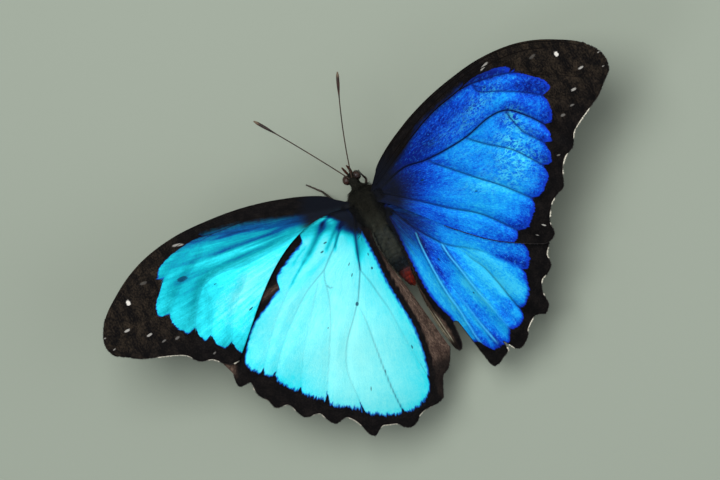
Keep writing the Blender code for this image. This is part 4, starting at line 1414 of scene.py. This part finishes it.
def make_fringe(side, hind, length):
    """Short flat scales that stand out from the margin, white in its hollows. A hollow is where
    the margin's reach is under its average over a few degrees."""
    draw = np.random.default_rng(21 + 2 * hind + (side == "left"))
    count = FRINGE_SCALES
    even = even_rays(side, hind, FRINGE_STEPS)
    s = np.interp(np.sort(draw.uniform(0, 1, count)), np.linspace(0, 1, FRINGE_STEPS), even)
    t = 1 - draw.uniform(0, 0.006, count)
    out, fore = flat_wing(side, hind, s, t)
    ahead = np.stack(flat_wing(side, hind, np.clip(s + 0.002, 0, 1), np.ones(count)), axis=1)
    behind = np.stack(flat_wing(side, hind, np.clip(s - 0.002, 0, 1), np.ones(count)), axis=1)
    run = unit(ahead - behind)
    away = np.stack([run[:, 1], -run[:, 0]], axis=1)
    edge = wing_edge(side, hind)
    angle = ray_angle(side, hind, s)
    reach = monotone(edge, angle)
    mean = sum(monotone(edge, angle + step) for step in (-4, -2.5, 2.5, 4)) / 4
    hollow = mean - reach
    scalloped = (angle < (-24 if hind else 1)) & (angle > (-86 if hind else -44))
    patchy = ease(1.0 + 1.0 * wave(47 + hind, angle * 0.8, angle * 0, 3.4))
    white = ease((hollow - 0.05) / 0.3) * scalloped * (hollow < 1.8) * patchy
    white = white * (draw.uniform(0, 1, count) < 0.85) * (1.0 if side == "right" else 0.75)
    rise, *_ = vein_field(side, hind, out, fore)
    roots = bent_wing(side, hind, out, fore, rise)
    tips = bent_wing(side, hind, out + away[:, 0], fore + away[:, 1], rise)
    lie = unit(tips - roots)
    normal = wing_normal(side, count)
    costal = angle > (-20 if hind else 6)
    long = length * draw.uniform(0.55, 1.15, count) * np.where(costal, 0.35, 1 + 0.3 * white)
    points, blocks = tufts(roots - lie * 0.12, lie, normal, long, 0.09, 0.02, 0.2, 31, 0.3)
    chart = np.stack([s * 0.9 + 0.05, 0.5 + 0.4 * (draw.uniform(0, 1, count) - 0.5)], axis=1)
    add_piece(wing_name(side, hind) + "_fringe", points, blocks, [fringe_finish()], (),
              {"white": per_tuft(white)}, {"OFBake": tuft_map(chart)})


# ---- Body

RUMP_AXIS = 12.65
FACE_POLE = -0.25
RUMP_POLE = 0.3
# The skin along the body, as (place, half width, half height, its middle's height): the solids'
# outline less the coat's depth, drawn together at the neck and the waist.
BODY_KNOTS = np.array((
    (FACE_Y, 0.25, 0.30, BODY_AXIS), (HEAD[1] - 1.25, 0.75, 0.85, BODY_AXIS),
    (HEAD[1] - 0.7, 1.05, 1.40, 14.1), (HEAD[1], 1.10, 1.55, 14.1), (HEAD[1] + 0.7, 1.05, 1.35, 14.1),
    (HEAD[1] + 1.35, 0.95, 1.05, 14.05), (-5.3, 1.35, 1.45, BODY_AXIS), (-4.4, 2.35, 2.45, BODY_AXIS),
    (-2.6, 3.25, 3.30, BODY_AXIS), (0.0, 3.45, 3.50, BODY_AXIS), (2.6, 3.10, 3.15, BODY_AXIS),
    (4.4, 2.45, 2.55, BODY_AXIS), (5.3, 2.05, 2.15, BODY_AXIS), (6.0, 2.0, 2.10, BODY_AXIS),
    (7.2, 2.25, 2.30, BODY_AXIS), (9.4, 2.56, 2.60, 13.98), (12.0, 2.64, 2.68, 13.85),
    (14.6, 2.52, 2.58, 13.75), (17.6, 2.16, 2.20, 13.45), (20.4, 1.55, 1.60, 13.1),
    (22.2, 1.0, 1.0, 12.85), (RUMP_Y, 0.35, 0.35, RUMP_AXIS),
))
# Where each abdomen ring ends.
SEGMENTS = tuple(8.0 + 2.05 * k for k in range(7))
# Shoulders over the wings' roots: place, length, height; and their place and width around the body.
SHOULDERS = ((-1.6, 1.5, 0.55), (2.4, 1.3, 0.40))
SHOULDER_TURN = 0.95
SHOULDER_WIDTH = 0.42


def body_y(u):
    """The place along the body at the share u of the way from face to tail."""
    return FACE_Y + u * (RUMP_Y - FACE_Y)


def body_profile(y):
    """Half width and half height of the skin, and its middle's height, along the body."""
    return tuple(monotone(BODY_KNOTS[:, [0, column]], y) for column in (1, 2, 3))


def body_point(u, turn, raise_by=0.0):
    """A point of the skin: u runs from the face (0) to the tail (1), turn once around from the top.
    Each abdomen ring swells and then steps in, so that the rings overlap like slates, and soft
    shoulders cover the wings' roots."""
    y = body_y(u)
    wide, high, middle = body_profile(y)
    step = np.zeros_like(y)
    for joint in SEGMENTS:
        step = step - 0.12 * bell(y - joint, 0.22) + 0.05 * bell(y - joint + 0.6, 0.4)
    around = np.abs((turn + math.pi) % (2 * math.pi) - math.pi)
    for place, long, size in SHOULDERS:
        step = step + size * bell(y - place, long) * bell(around - SHOULDER_TURN, SHOULDER_WIDTH)
    wide, high = wide + step + raise_by, high + step + raise_by
    return np.stack([wide * np.sin(turn), y + 0 * turn, middle + high * np.cos(turn)], axis=-1)


def body_chart(u, turn):
    """The skin's own chart: along the body and once around it, with a rim."""
    return np.stack([u * 0.96 + 0.02, turn / (2 * math.pi) * 0.96 + 0.02], axis=1)


def body_marks(u, turn):
    """Rust before the tail, mostly on the right, tan hair at the very tip, along the flanks and under
    the head, blue-black hair at the wings' roots, and an olive stripe along the top."""
    y = body_y(u)
    side, top = np.sin(turn), np.cos(turn)
    rust = ease((y - 17.4) / 2.4) * ease((24.2 - y) / 1.4) * ease(0.95 - side * 0.7) * 0.9
    rust = rust * (0.66 + 0.34 * wave(19, y, turn * 2, 1.3))
    tan = 0.36 * ease((y - 22.4) / 1.2) + 0.10 * ease((np.abs(side) - 0.8) / 0.2) * ease((y - 9) / 4)
    tan = np.maximum(tan, 0.5 * ease((-7.0 - y) / 1.6) * ease(-top + 0.3))
    blue = 0.5 * ease((1 - np.abs(y - 0.6) / 4.6) * 1.4) * ease((np.abs(side) - 0.35) / 0.4)
    olive = 0.22 * ease((top - 0.2) / 0.6) + 0.68 * ease((top - 0.45) / 0.4) * ease((y - 0.6) / 3.4)
    olive = olive * ease((16 - y) / 3) * (0.72 + 0.28 * wave(13, y, turn * 2, 1.6))
    slate = ease((y - 4.5) / 3)
    marks = {"rust": rust, "tan": tan, "blue_hair": blue, "olive": olive, "slate": slate}
    return {mark: np.clip(share, 0, 1) for mark, share in marks.items()}


SKIN_ROWS = 420
SKIN_COLUMNS = 96


def make_skin():
    """One skin for head, thorax and abdomen: an oval ring round each point of the body's axis."""
    rows, columns = SKIN_ROWS, SKIN_COLUMNS
    u = np.linspace(0, 1, rows)[:, None]
    turn = np.arange(columns)[None, :] * 2 * math.pi / columns
    u, turn = np.broadcast_arrays(u, turn)
    rings = body_point(u, turn).reshape(-1, 3)
    poles = np.array([body_point(np.array(end), np.array(0.0)) for end in (0.0, 1.0)])
    poles[:, 0] = 0
    poles[:, 1] += [FACE_POLE, RUMP_POLE]
    poles[:, 2] = [BODY_AXIS, RUMP_AXIS]
    points = np.concatenate([rings, poles])
    faces = closed_faces(rows, columns)
    marks = body_marks(u, turn)
    marks["along"] = u * 0
    marks = {mark: np.concatenate([v.ravel(), v.ravel()[[0, -1]]]) for mark, v in marks.items()}
    chart = np.concatenate([body_chart(u.ravel(), turn.ravel()), [[0.01, 0.5], [0.99, 0.5]]])
    add_piece("body_skin", points, faces, [hair_finish()],
              ("head", "thorax", "abdomen_1", "abdomen_2", "abdomen_3"), marks, {"Chart": chart})


def make_coat(name, count, ends, length, width, rise, curl, seed):
    """Tufts over a stretch of the body, lying backwards: even draws over its area, with length
    and lift following the place."""
    draw = np.random.default_rng(seed)
    low, high = ((y - FACE_Y) / (RUMP_Y - FACE_Y) for y in ends)
    u = draw.uniform(low, high, count * 2)
    wide, _, _ = body_profile(body_y(u))
    u = u[draw.uniform(0, 1, len(u)) < wide / wide.max()][:count]
    turn = draw.uniform(0, 2 * math.pi, len(u))
    roots = body_point(u, turn, -0.03)
    ahead = body_point(np.clip(u + 0.004, 0, 1), turn)
    beside = body_point(u, turn + 0.02)
    lie = unit(ahead - roots)
    normal = unit(np.cross(beside - roots, ahead - roots))
    centre = roots * (0, 1, 0) + (0, 0, BODY_AXIS)
    normal = normal * np.sign(((roots - centre) * normal).sum(axis=1))[:, None]
    long = length * draw.uniform(0.6, 1.25, len(u))
    wide = width * draw.uniform(0.7, 1.2, len(u))
    points, blocks = tufts(roots, lie, normal, long, wide, rise, curl, seed + 1)
    marks = {mark: per_tuft(values) for mark, values in body_marks(u, turn).items()}
    marks["tint"] = per_tuft(draw.uniform(0, 1, len(u)) ** 3)
    marks["along"] = np.tile(TUFT_ALONG, len(u))
    maps = {"OFBake": tuft_map(body_chart(u, turn))}
    add_piece(name, points, blocks, [hair_finish()], (), marks, maps)


def make_wing_hair(side, hind, count, length, spread):
    """Long fine hair lying outwards over a wing's root and, on a hindwing, along its inner strip."""
    draw = np.random.default_rng(61 + 2 * hind + (side == "left"))
    s = draw.uniform(0.0, 1.0, count)
    t = np.abs(draw.normal(0.0, spread, count)) + 0.01
    strip = np.zeros(count, bool)
    if hind:
        strip = draw.uniform(0, 1, count) < 0.4
        s = np.where(strip, draw.uniform(0, 0.02, count), s)
        t = np.where(strip, draw.uniform(0.02, 0.85, count), t)
    t = np.clip(t, 0.01, 0.95)
    out, fore = flat_wing(side, hind, s, t)
    further = flat_wing(side, hind, s, t + 0.02)
    rise, *_ = vein_field(side, hind, out, fore)
    roots = bent_wing(side, hind, out, fore, rise + 0.10)
    lie = unit(bent_wing(side, hind, *further, rise + 0.10) - roots)
    normal = wing_normal(side, count)
    long = length * draw.uniform(0.5, 1.2, count) * np.where(strip, 0.6, 1.0)
    wide = np.where(strip, 0.026, 0.05)
    points, blocks = tufts(roots, lie, normal, long, wide, 0.04, 0.6, 71 + hind)
    marks = {
        "along": np.tile(TUFT_ALONG, count),
        "tan": per_tuft(np.where(strip, 0.14 * draw.uniform(0, 1, count), 0.0)),
        "blue_hair": per_tuft(np.where(strip, 0.0, draw.uniform(0.6, 1.0, count))),
    }
    maps = {"OFBake": tuft_map(np.stack([s * 0.9 + 0.05, t * 0.9 + 0.05], axis=1))}
    add_piece(wing_name(side, hind) + "_hair", points, blocks, [hair_finish()], (), marks, maps)


# ---- Head, feelers and legs

EYE_ROWS = 60
EYE_COLUMNS = 72


def make_eye(side):
    """A compound eye: an egg-shaped ball on its solid's place."""
    low, high = (corner - GROUND for corner in node_box(f"eye_{side}"))
    centre, radii = (low + high) / 2, (high - low) / 2
    rows, columns = EYE_ROWS, EYE_COLUMNS
    tall = np.linspace(0, math.pi, rows + 2)[1:-1][:, None]
    turn = np.arange(columns)[None, :] * 2 * math.pi / columns
    round_x, round_y = np.sin(tall) * np.cos(turn), np.sin(tall) * np.sin(turn)
    ball = np.stack([np.cos(tall) + 0 * turn, round_x, round_y], axis=-1)
    points = centre + radii * np.concatenate([ball.reshape(-1, 3), [[1, 0, 0], [-1, 0, 0]]])
    faces = closed_faces(rows, columns, flip=True)
    add_piece(f"eye_{side}_facets", points, faces, [eye_finish()], (f"eye_{side}",))


def leg_path(side, joints, count=120, round_off=0.5):
    """The leg's joints joined by straight runs whose corners are smoothed by a running mean."""
    knots = np.array(joints, float) * (OUTWARD[side], 1, 1)
    run = np.concatenate([[0], np.cumsum(np.linalg.norm(np.diff(knots, axis=0), axis=1))])
    at = np.linspace(0, run[-1], count)
    line = np.stack([np.interp(at, run, knots[:, axis]) for axis in range(3)], axis=1)
    reach = max(1, int(round_off / run[-1] * count))
    padded = np.concatenate([np.repeat(line[:1], reach, 0), line, np.repeat(line[-1:], reach, 0)])
    window = np.ones(2 * reach + 1) / (2 * reach + 1)
    smooth = np.stack([np.convolve(padded[:, axis], window, "valid") for axis in range(3)], axis=1)
    return smooth, at / run[-1], run / run[-1]


# Legs as joints (out, along Y, height): hip, knee, ankle, start of the foot, toe.
LEGS = {
    "middle_leg": (
        (1.5, -1, 11.4), (7.6, -4.4, 9.4), (10.6, -8, 1.9), (11.3, -8.9, 0.3), (14.2, -12.6, 0.22),
    ),
    "hind_leg": ((1.5, 2.5, 11.3), (7.4, 9.2, 9.6), (11.2, 15.6, 2), (11.9, 16.8, 0.3), (14.6, 22, 0.22)),
    "foreleg": ((0.9, -3.6, 11.2), (2.1, -6, 9.3), (1.9, -7.4, 10.6), (1.7, -8.2, 10.4), (1.5, -9, 10.1)),
}
LEG_SIDES = 12
LEG_SPINES = 70


def make_leg(kind, side):
    """A leg: thigh with a soft swelling, slender shin, a foot of five joints, and spines all along."""
    path, along, joints = leg_path(side, LEGS[kind])
    small = 0.75 if kind == "foreleg" else 1.0
    thick = np.interp(along, (0, *joints[1:-1], 1), (0.5, 0.4, 0.3, 0.24, 0.17))
    thick = thick + 0.10 * bell(along - joints[1] * 0.45, 0.12)
    foot = along > joints[3]
    beat = np.where(foot, (along - joints[3]) / (1 - joints[3]) * 5 % 1, 0.5)
    thick = thick + np.where(foot, 0.05 * (beat - 0.5), 0) - 0.05 * bell(along - joints[1], 0.012)
    thick = thick * small
    thick[0], thick[-1] = 0.05, 0.08
    pale = np.where(foot, 0.15 * (beat > 0.8), 0.0) + 0.25 * bell(along - joints[1], 0.01)
    walks = kind != "foreleg"
    if walks:
        path[:, 2] = np.maximum(path[:, 2], thick * 0.9)
    shape, blocks = sweep(path, thick, LEG_SIDES)
    if walks:
        shape[:, 2] = np.maximum(shape[:, 2], 0.0)
    parts = [(shape, blocks, {"pale": per_ring(pale, LEG_SIDES)})]
    draw = np.random.default_rng(91 + len(kind))
    at = draw.uniform(joints[1] * 0.2, 0.97, LEG_SPINES)
    places = (at * (len(path) - 1)).astype(int)
    tangent, spin, roots = bristle_places(draw, path, thick, places, 0.8)
    reach = np.where(at > joints[1], 0.55, 0.35) * draw.uniform(0.6, 1.2, LEG_SPINES)
    spines, spine_faces = tufts(roots, tangent, spin, reach, 0.035, 0.45, 0.4, 93, 0.9)
    if walks:
        spines[:, 2] = np.maximum(spines[:, 2], 0.02)
    parts.append((spines, spine_faces, {"pale": 0.1}))
    points, blocks, marks = joined(parts)
    finish = shell_finish("Leg shell", srgb(26, 18, 14), srgb(70, 50, 36), 0.42)
    add_piece(f"{kind}_{side}_shell", points, blocks, [finish], (f"{kind}_{side}",), marks)


FEELER_LENGTH = 28.0
FEELER_RINGS = 52
FEELER_SIDES = 14


def make_antenna(side):
    """A feeler: a long arc of rings, each a slight swelling, ending in a slender club."""
    q = np.linspace(-0.03, 1, 420)
    along = FEELER_LENGTH * q
    out = 0.62 + 0.36 * along + 1.6 * q * q
    fore = HEAD[1] - 0.95 - 0.84 * along
    up = THORAX_HEIGHT + 2.05 + 0.42 * along - 3.4 * q * q
    path = np.stack([OUTWARD[side] * out, fore, up], axis=1)
    club = ease((q - 0.74) / 0.16) - ease((q - 0.95) / 0.06)
    radii = 0.15 + 0.05 * ease(1 - q / 0.05) + 0.26 * club
    ring = np.abs(q * FEELER_RINGS % 1 - 0.5) * 2
    radii = radii * (1 - 0.16 * ring**4)
    radii[-3:] = (0.16, 0.10, 0.03)
    shape, blocks = sweep(path, radii, FEELER_SIDES)
    pale = 0.35 * ease((ring - 0.75) / 0.2) * ease((0.8 - q) / 0.1) + 0.45 * ease((q - 0.93) / 0.05)
    marks = {"pale": np.append(np.repeat(pale, FEELER_SIDES), (0, 0))}
    finish = shell_finish("Feeler shell", srgb(24, 15, 12), srgb(84, 46, 26), 0.38)
    add_piece(f"antenna_{side}_rings", shape, blocks, [finish], (f"antenna_{side}",), marks)


CHIN_Y = HEAD[1] - 0.9
CHIN_HEIGHT = 13.2
# The tongue's coil: its middle, its first radius and how far that closes up, where it starts and how
# far it turns in degrees, and its rings.
COIL_Y = HEAD[1] - 2.3
COIL_HEIGHT = THORAX_HEIGHT - 2.65
COIL_RADIUS = 1.4
COIL_CLOSE = 0.95
COIL_START = 100
COIL_TURN = 520
TONGUE_RINGS = 60
TONGUE_SIDES = 12


def make_tongue():
    """The tongue: a flat coil of a turn and a half with fine rings, its root under the face."""
    q = np.linspace(0, 1, 300)
    angle = np.radians(COIL_START + COIL_TURN * q)
    radius = COIL_RADIUS - COIL_CLOSE * q
    path = np.stack([0 * q, COIL_Y - radius * np.cos(angle), COIL_HEIGHT + radius * np.sin(angle)], axis=1)
    lead = np.linspace((0, CHIN_Y, CHIN_HEIGHT), path[0], 12)
    path = np.concatenate([lead[:-1], path])
    beat = 0.5 + 0.5 * np.cos(np.linspace(0, 1, len(path)) * 2 * math.pi * TONGUE_RINGS)
    radii = np.linspace(0.21, 0.10, len(path)) * (0.92 + 0.08 * beat)
    shape, blocks = sweep(path, radii, TONGUE_SIDES, up=(1, 0, 0))
    finish = shell_finish("Tongue shell", srgb(36, 20, 12), srgb(110, 66, 34), 0.35)
    add_piece("proboscis_rings", shape, blocks, [finish], ("proboscis",),
              {"pale": np.zeros(len(shape))})


PALP_HAIRS = 700
PALP_LENGTH = 2.5
PALP_SIDES = 12


def make_palp(side):
    """A palp: a short club that rises before the face, covered in bristly hair."""
    q = np.linspace(0, 1, 40)
    out = OUTWARD[side] * (0.55 + 0.1 * q)
    path = np.stack([out, CHIN_Y - PALP_LENGTH * q, CHIN_HEIGHT + 1.8 * q + 0.5 * q * q], axis=1)
    radii = 0.30 * np.sin(math.pi * (0.16 + 0.74 * q)) ** 0.7
    shape, blocks = sweep(path, radii, PALP_SIDES)
    draw = np.random.default_rng(101)
    places = draw.integers(3, 39, PALP_HAIRS)
    tangent, spin, roots = bristle_places(draw, path, radii, places, 0.9)
    long = 0.42 * draw.uniform(0.6, 1.2, PALP_HAIRS)
    hairs, hair_faces = tufts(roots, tangent, spin, long, 0.03, 0.3, 0.4, 103)
    marks = {
        "along": np.tile(TUFT_ALONG, PALP_HAIRS),
        "rust": per_tuft(draw.uniform(0, 0.4, PALP_HAIRS)),
        "tan": per_tuft(draw.uniform(0, 0.5, PALP_HAIRS) * (spin[:, 2] < 0)),
    }
    skin_marks = {"along": 0.0, "rust": 0.15, "tan": 0.1}
    points, blocks, marks = joined([(shape, blocks, skin_marks), (hairs, hair_faces, marks)])
    add_piece(f"palp_{side}_hair", points, blocks, [hair_finish()], (f"palp_{side}",), marks)


# ---- Stage

CAMERA_DISTANCE = 900.0
CAMERA_LENS = 180.0
CAMERA_TILT = math.radians(12.0)
CAMERA_ROLL = math.radians(30.0)
WAIST = np.array([0.0, 5.75, 14.5])
AIM_RIGHT = -4.75
AIM_UP = -3.65
FLOOR_HALF = 6.0


def camera_axes():
    """Right, up and back of a camera that looks nearly straight down, tilted to the butterfly's
    right and rolled so that the head points up and to the left."""
    back = np.array([-math.sin(CAMERA_TILT), 0, math.cos(CAMERA_TILT)])
    across = np.array([-math.cos(CAMERA_TILT), 0, -math.sin(CAMERA_TILT)])
    ahead = np.array([0, -1.0, 0])
    right = math.cos(CAMERA_ROLL) * across - math.sin(CAMERA_ROLL) * ahead
    up = math.sin(CAMERA_ROLL) * across + math.cos(CAMERA_ROLL) * ahead
    return right, up, back


def make_camera():
    """The camera at its distance from the aim, a point beside the waist."""
    right, up, back = camera_axes()
    spot = GROUND + WAIST + AIM_RIGHT * right + AIM_UP * up + CAMERA_DISTANCE * back
    camera = bpy.data.cameras.new("View")
    camera.lens = CAMERA_LENS
    camera.clip_start = 0.01
    holder = bpy.data.objects.new("View", camera)
    turn = Matrix([Vector(axis) for axis in (right, up, back)]).transposed().to_4x4()
    holder.matrix_world = Matrix.Translation(Vector(spot * MM)) @ turn
    bpy.context.scene.collection.objects.link(holder)
    bpy.context.scene.camera = holder


def add_light(name, spot, aim, size, power, tint=(1, 1, 1)):
    """A soft square light aimed at a point, places in metres."""
    light = bpy.data.lights.new(name, "AREA")
    light.size = size
    light.energy = power
    light.color = tint
    holder = bpy.data.objects.new(name, light)
    holder.location = spot
    holder.rotation_euler = (Vector(aim) - Vector(spot)).to_track_quat("-Z", "Y").to_euler()
    bpy.context.scene.collection.objects.link(holder)


def make_floor(colour):
    """A wide plain floor."""
    mesh = bpy.data.meshes.new("floor")
    corners = [(x * FLOOR_HALF, y * FLOOR_HALF, 0) for x, y in ((-1, -1), (1, -1), (1, 1), (-1, 1))]
    mesh.from_pydata(corners, [], [(0, 1, 2, 3)])
    material, net, shader = new_material("Floor")
    finish_with(net, shader, colour, 0.9, 0.0)
    mesh.materials.append(material)
    floor = bpy.data.objects.new("floor", mesh)
    bpy.context.scene.collection.objects.link(floor)


def make_world(colour, strength):
    """Even light from all round."""
    world = bpy.data.worlds.new("Studio")
    world.use_nodes = True
    ground = world.node_tree.nodes["Background"]
    ground.inputs["Color"].default_value = (*colour, 1)
    ground.inputs["Strength"].default_value = strength
    bpy.context.scene.world = world


# ---- Properties, operators and panel


class MorphoWings(bpy.types.PropertyGroup):
    """Sizes and strengths of the wings' finish."""

    metal: bpy.props.FloatProperty(
        name="Sheen", description="How metallic the blue scales are", default=0.5, min=0, max=1,
        subtype="FACTOR")
    streak: bpy.props.FloatProperty(
        name="Streaks", description="Strength of the streaks along the veins", default=0.42, min=0, max=1)
    blot: bpy.props.FloatProperty(
        name="Blotches", description="Strength of the soft blotches", default=0.45, min=0, max=1)
    grain: bpy.props.FloatProperty(
        name="Grain", description="Difference between neighbouring scales", default=0.16, min=0, max=1)
    scuff: bpy.props.FloatProperty(
        name="Scuffs", description="Strength of the pale scuffs on the right forewing", default=0.8, min=0,
        max=1)
    fringe: bpy.props.FloatProperty(
        name="Fringe", description="Length of the marginal scales", default=0.42 * MM, unit="LENGTH")


class MorphoBody(bpy.types.PropertyGroup):
    """Sizes of the body's coat."""

    hair: bpy.props.FloatProperty(
        name="Hair length", description="Length of the hair on the thorax", default=1.55 * MM, unit="LENGTH")
    down: bpy.props.FloatProperty(
        name="Down length", description="Length of the hair on the abdomen", default=0.7 * MM, unit="LENGTH")
    face: bpy.props.FloatProperty(
        name="Face hair length", description="Length of the hair on the head", default=0.75 * MM,
        unit="LENGTH")


class MorphoStage(bpy.types.PropertyGroup):
    """Floor and lights."""

    floor: bpy.props.FloatVectorProperty(
        name="Floor", description="Colour of the floor", default=(0.38, 0.43, 0.35), subtype="COLOR", min=0,
        max=1)
    key: bpy.props.FloatProperty(
        name="Key light", description="Power of the main soft light", default=4.0, unit="POWER")
    fill: bpy.props.FloatProperty(
        name="Fill light", description="Power of the broad side light", default=2.0, unit="POWER")
    sheen: bpy.props.FloatProperty(
        name="Sheen light", description="Power of the light that the right wings mirror", default=0.8,
        unit="POWER")
    world: bpy.props.FloatProperty(name="Surroundings", description="Light from all round", default=0.20)


class MORPHO_OT_wings(bpy.types.Operator):
    """Build the four scale-covered wings"""

    bl_idname = "morpho.wings"
    bl_label = "Wings"

    def execute(self, context):
        settings = context.scene.morpho_wings
        for side, hind in WINGS:
            right = side == "right"
            # Fine streaks, pale specks, the paler rim, the border's teeth and their spacing in degrees, and
            # the painted highlights on the crumpled inner strip differ from wing to wing.
            look = {
                "metal": settings.metal * (0.8 if right else 1.0),
                "streak": settings.streak * (1.0 if right or not hind else 0.35),
                "blot": settings.blot * (1.2 if right else 0.3),
                "fine": 0.62 if right else 0.10,
                "specks": (0.4 if hind else 0.22) if right else 0.0,
                "grain": settings.grain * (1.3 if right else 0.35),
                "scuff": settings.scuff if right and not hind else 0.0,
                "rim": 1.2 if right else 0.8 if hind else 0.3,
                "teeth": 3.0 if hind and not right else 1.5,
                "pitch": 1.7 if hind and not right else 2.4,
                "crinkle_highlight": 0.9 if hind and right else 0.0,
            }
            make_wing(side, hind, look)
        return {"FINISHED"}


class MORPHO_OT_veins(bpy.types.Operator):
    """Build the raised veins"""

    bl_idname = "morpho.veins"
    bl_label = "Veins"

    def execute(self, context):
        for side, hind in WINGS:
            make_veins(side, hind)
        return {"FINISHED"}


class MORPHO_OT_fringe(bpy.types.Operator):
    """Build the scales along the wings' margins"""

    bl_idname = "morpho.fringe"
    bl_label = "Fringe"

    def execute(self, context):
        length = context.scene.morpho_wings.fringe / MM
        for side, hind in WINGS:
            make_fringe(side, hind, length)
        return {"FINISHED"}


class MORPHO_OT_body(bpy.types.Operator):
    """Build the skin of head, thorax and abdomen"""

    bl_idname = "morpho.body"
    bl_label = "Body"

    def execute(self, context):
        make_skin()
        return {"FINISHED"}


class MORPHO_OT_coat(bpy.types.Operator):
    """Build the hair of the body and the wings' roots"""

    bl_idname = "morpho.coat"
    bl_label = "Coat"

    def execute(self, context):
        settings = context.scene.morpho_body
        hair, down, face = (value / MM for value in (settings.hair, settings.down, settings.face))
        make_coat("thorax_coat", 12000, (-5.6, 5.8), hair, 0.054, 0.5, 0.5, 41)
        make_coat("abdomen_coat", 11500, (5.4, TAIL_Y - 0.5), down, 0.05, 0.16, 0.6, 43)
        make_coat("head_coat", 4200, (HEAD[1] - 1.4, -5.2), face, 0.04, 0.5, 0.4, 47)
        for side in SIDES:
            make_wing_hair(side, False, 1100, 1.7, 0.018)
            make_wing_hair(side, True, 1500, 1.5, 0.02)
        return {"FINISHED"}


class MORPHO_OT_head(bpy.types.Operator):
    """Build the eyes, palps, tongue and feelers"""

    bl_idname = "morpho.head"
    bl_label = "Head parts"

    def execute(self, context):
        for side in SIDES:
            make_eye(side)
            make_palp(side)
            make_antenna(side)
        make_tongue()
        return {"FINISHED"}


class MORPHO_OT_legs(bpy.types.Operator):
    """Build the four walking legs and the folded forelegs"""

    bl_idname = "morpho.legs"
    bl_label = "Legs"

    def execute(self, context):
        for kind in LEGS:
            for side in SIDES:
                make_leg(kind, side)
        return {"FINISHED"}


class MORPHO_OT_stage(bpy.types.Operator):
    """Set the floor, lights and camera"""

    bl_idname = "morpho.stage"
    bl_label = "Stage"

    def execute(self, context):
        stage = context.scene.morpho_stage
        _, _, back = camera_axes()
        make_floor((*stage.floor, 1))
        make_world((0.92, 0.95, 1.0), stage.world)
        aim = Vector(GROUND * MM)
        cool = (0.95, 0.97, 1.0)
        add_light("Key", aim + Vector(back) * 0.75 + Vector((0.10, -0.22, 0)), aim, 0.42, stage.key)
        add_light("Fill", aim + Vector((-0.7, 0.35, 0.6)), aim, 0.8, stage.fill, cool)
        add_light("Sheen", aim + Vector((0.52, 0.10, 0.78)), aim, 0.3, stage.sheen, cool)
        make_camera()
        context.scene.view_settings.view_transform = "Standard"
        return {"FINISHED"}


OPERATORS = (
    MORPHO_OT_stage, MORPHO_OT_wings, MORPHO_OT_veins, MORPHO_OT_fringe, MORPHO_OT_body, MORPHO_OT_coat,
    MORPHO_OT_head, MORPHO_OT_legs,
)


class MORPHO_PT_panel(bpy.types.Panel):
    """Lists the butterfly's settings and steps"""

    bl_label = "Blue Morpho"
    bl_idname = "MORPHO_PT_panel"
    bl_space_type = "VIEW_3D"
    bl_region_type = "UI"
    bl_category = "Butterfly"

    def draw(self, context):
        for group in ("morpho_wings", "morpho_body", "morpho_stage"):
            settings = getattr(context.scene, group)
            box = self.layout.box()
            for setting in settings.__annotations__:
                box.prop(settings, setting)
        for operator in OPERATORS:
            self.layout.operator(operator.bl_idname)


CLASSES = (MorphoWings, MorphoBody, MorphoStage, *OPERATORS, MORPHO_PT_panel)


def register():
    """Register the classes and the scene's settings."""
    for item in CLASSES:
        bpy.utils.register_class(item)
    bpy.types.Scene.morpho_wings = bpy.props.PointerProperty(type=MorphoWings)
    bpy.types.Scene.morpho_body = bpy.props.PointerProperty(type=MorphoBody)
    bpy.types.Scene.morpho_stage = bpy.props.PointerProperty(type=MorphoStage)


def unregister():
    """Remove the settings and the classes."""
    del bpy.types.Scene.morpho_wings
    del bpy.types.Scene.morpho_body
    del bpy.types.Scene.morpho_stage
    for item in reversed(CLASSES):
        bpy.utils.unregister_class(item)


def main():
    """Register the classes and settings, and build every piece in order."""
    register()
    for operator in OPERATORS:
        group, name = operator.bl_idname.split(".")
        getattr(getattr(bpy.ops, group), name)()


if __name__ == "__main__":
    main()
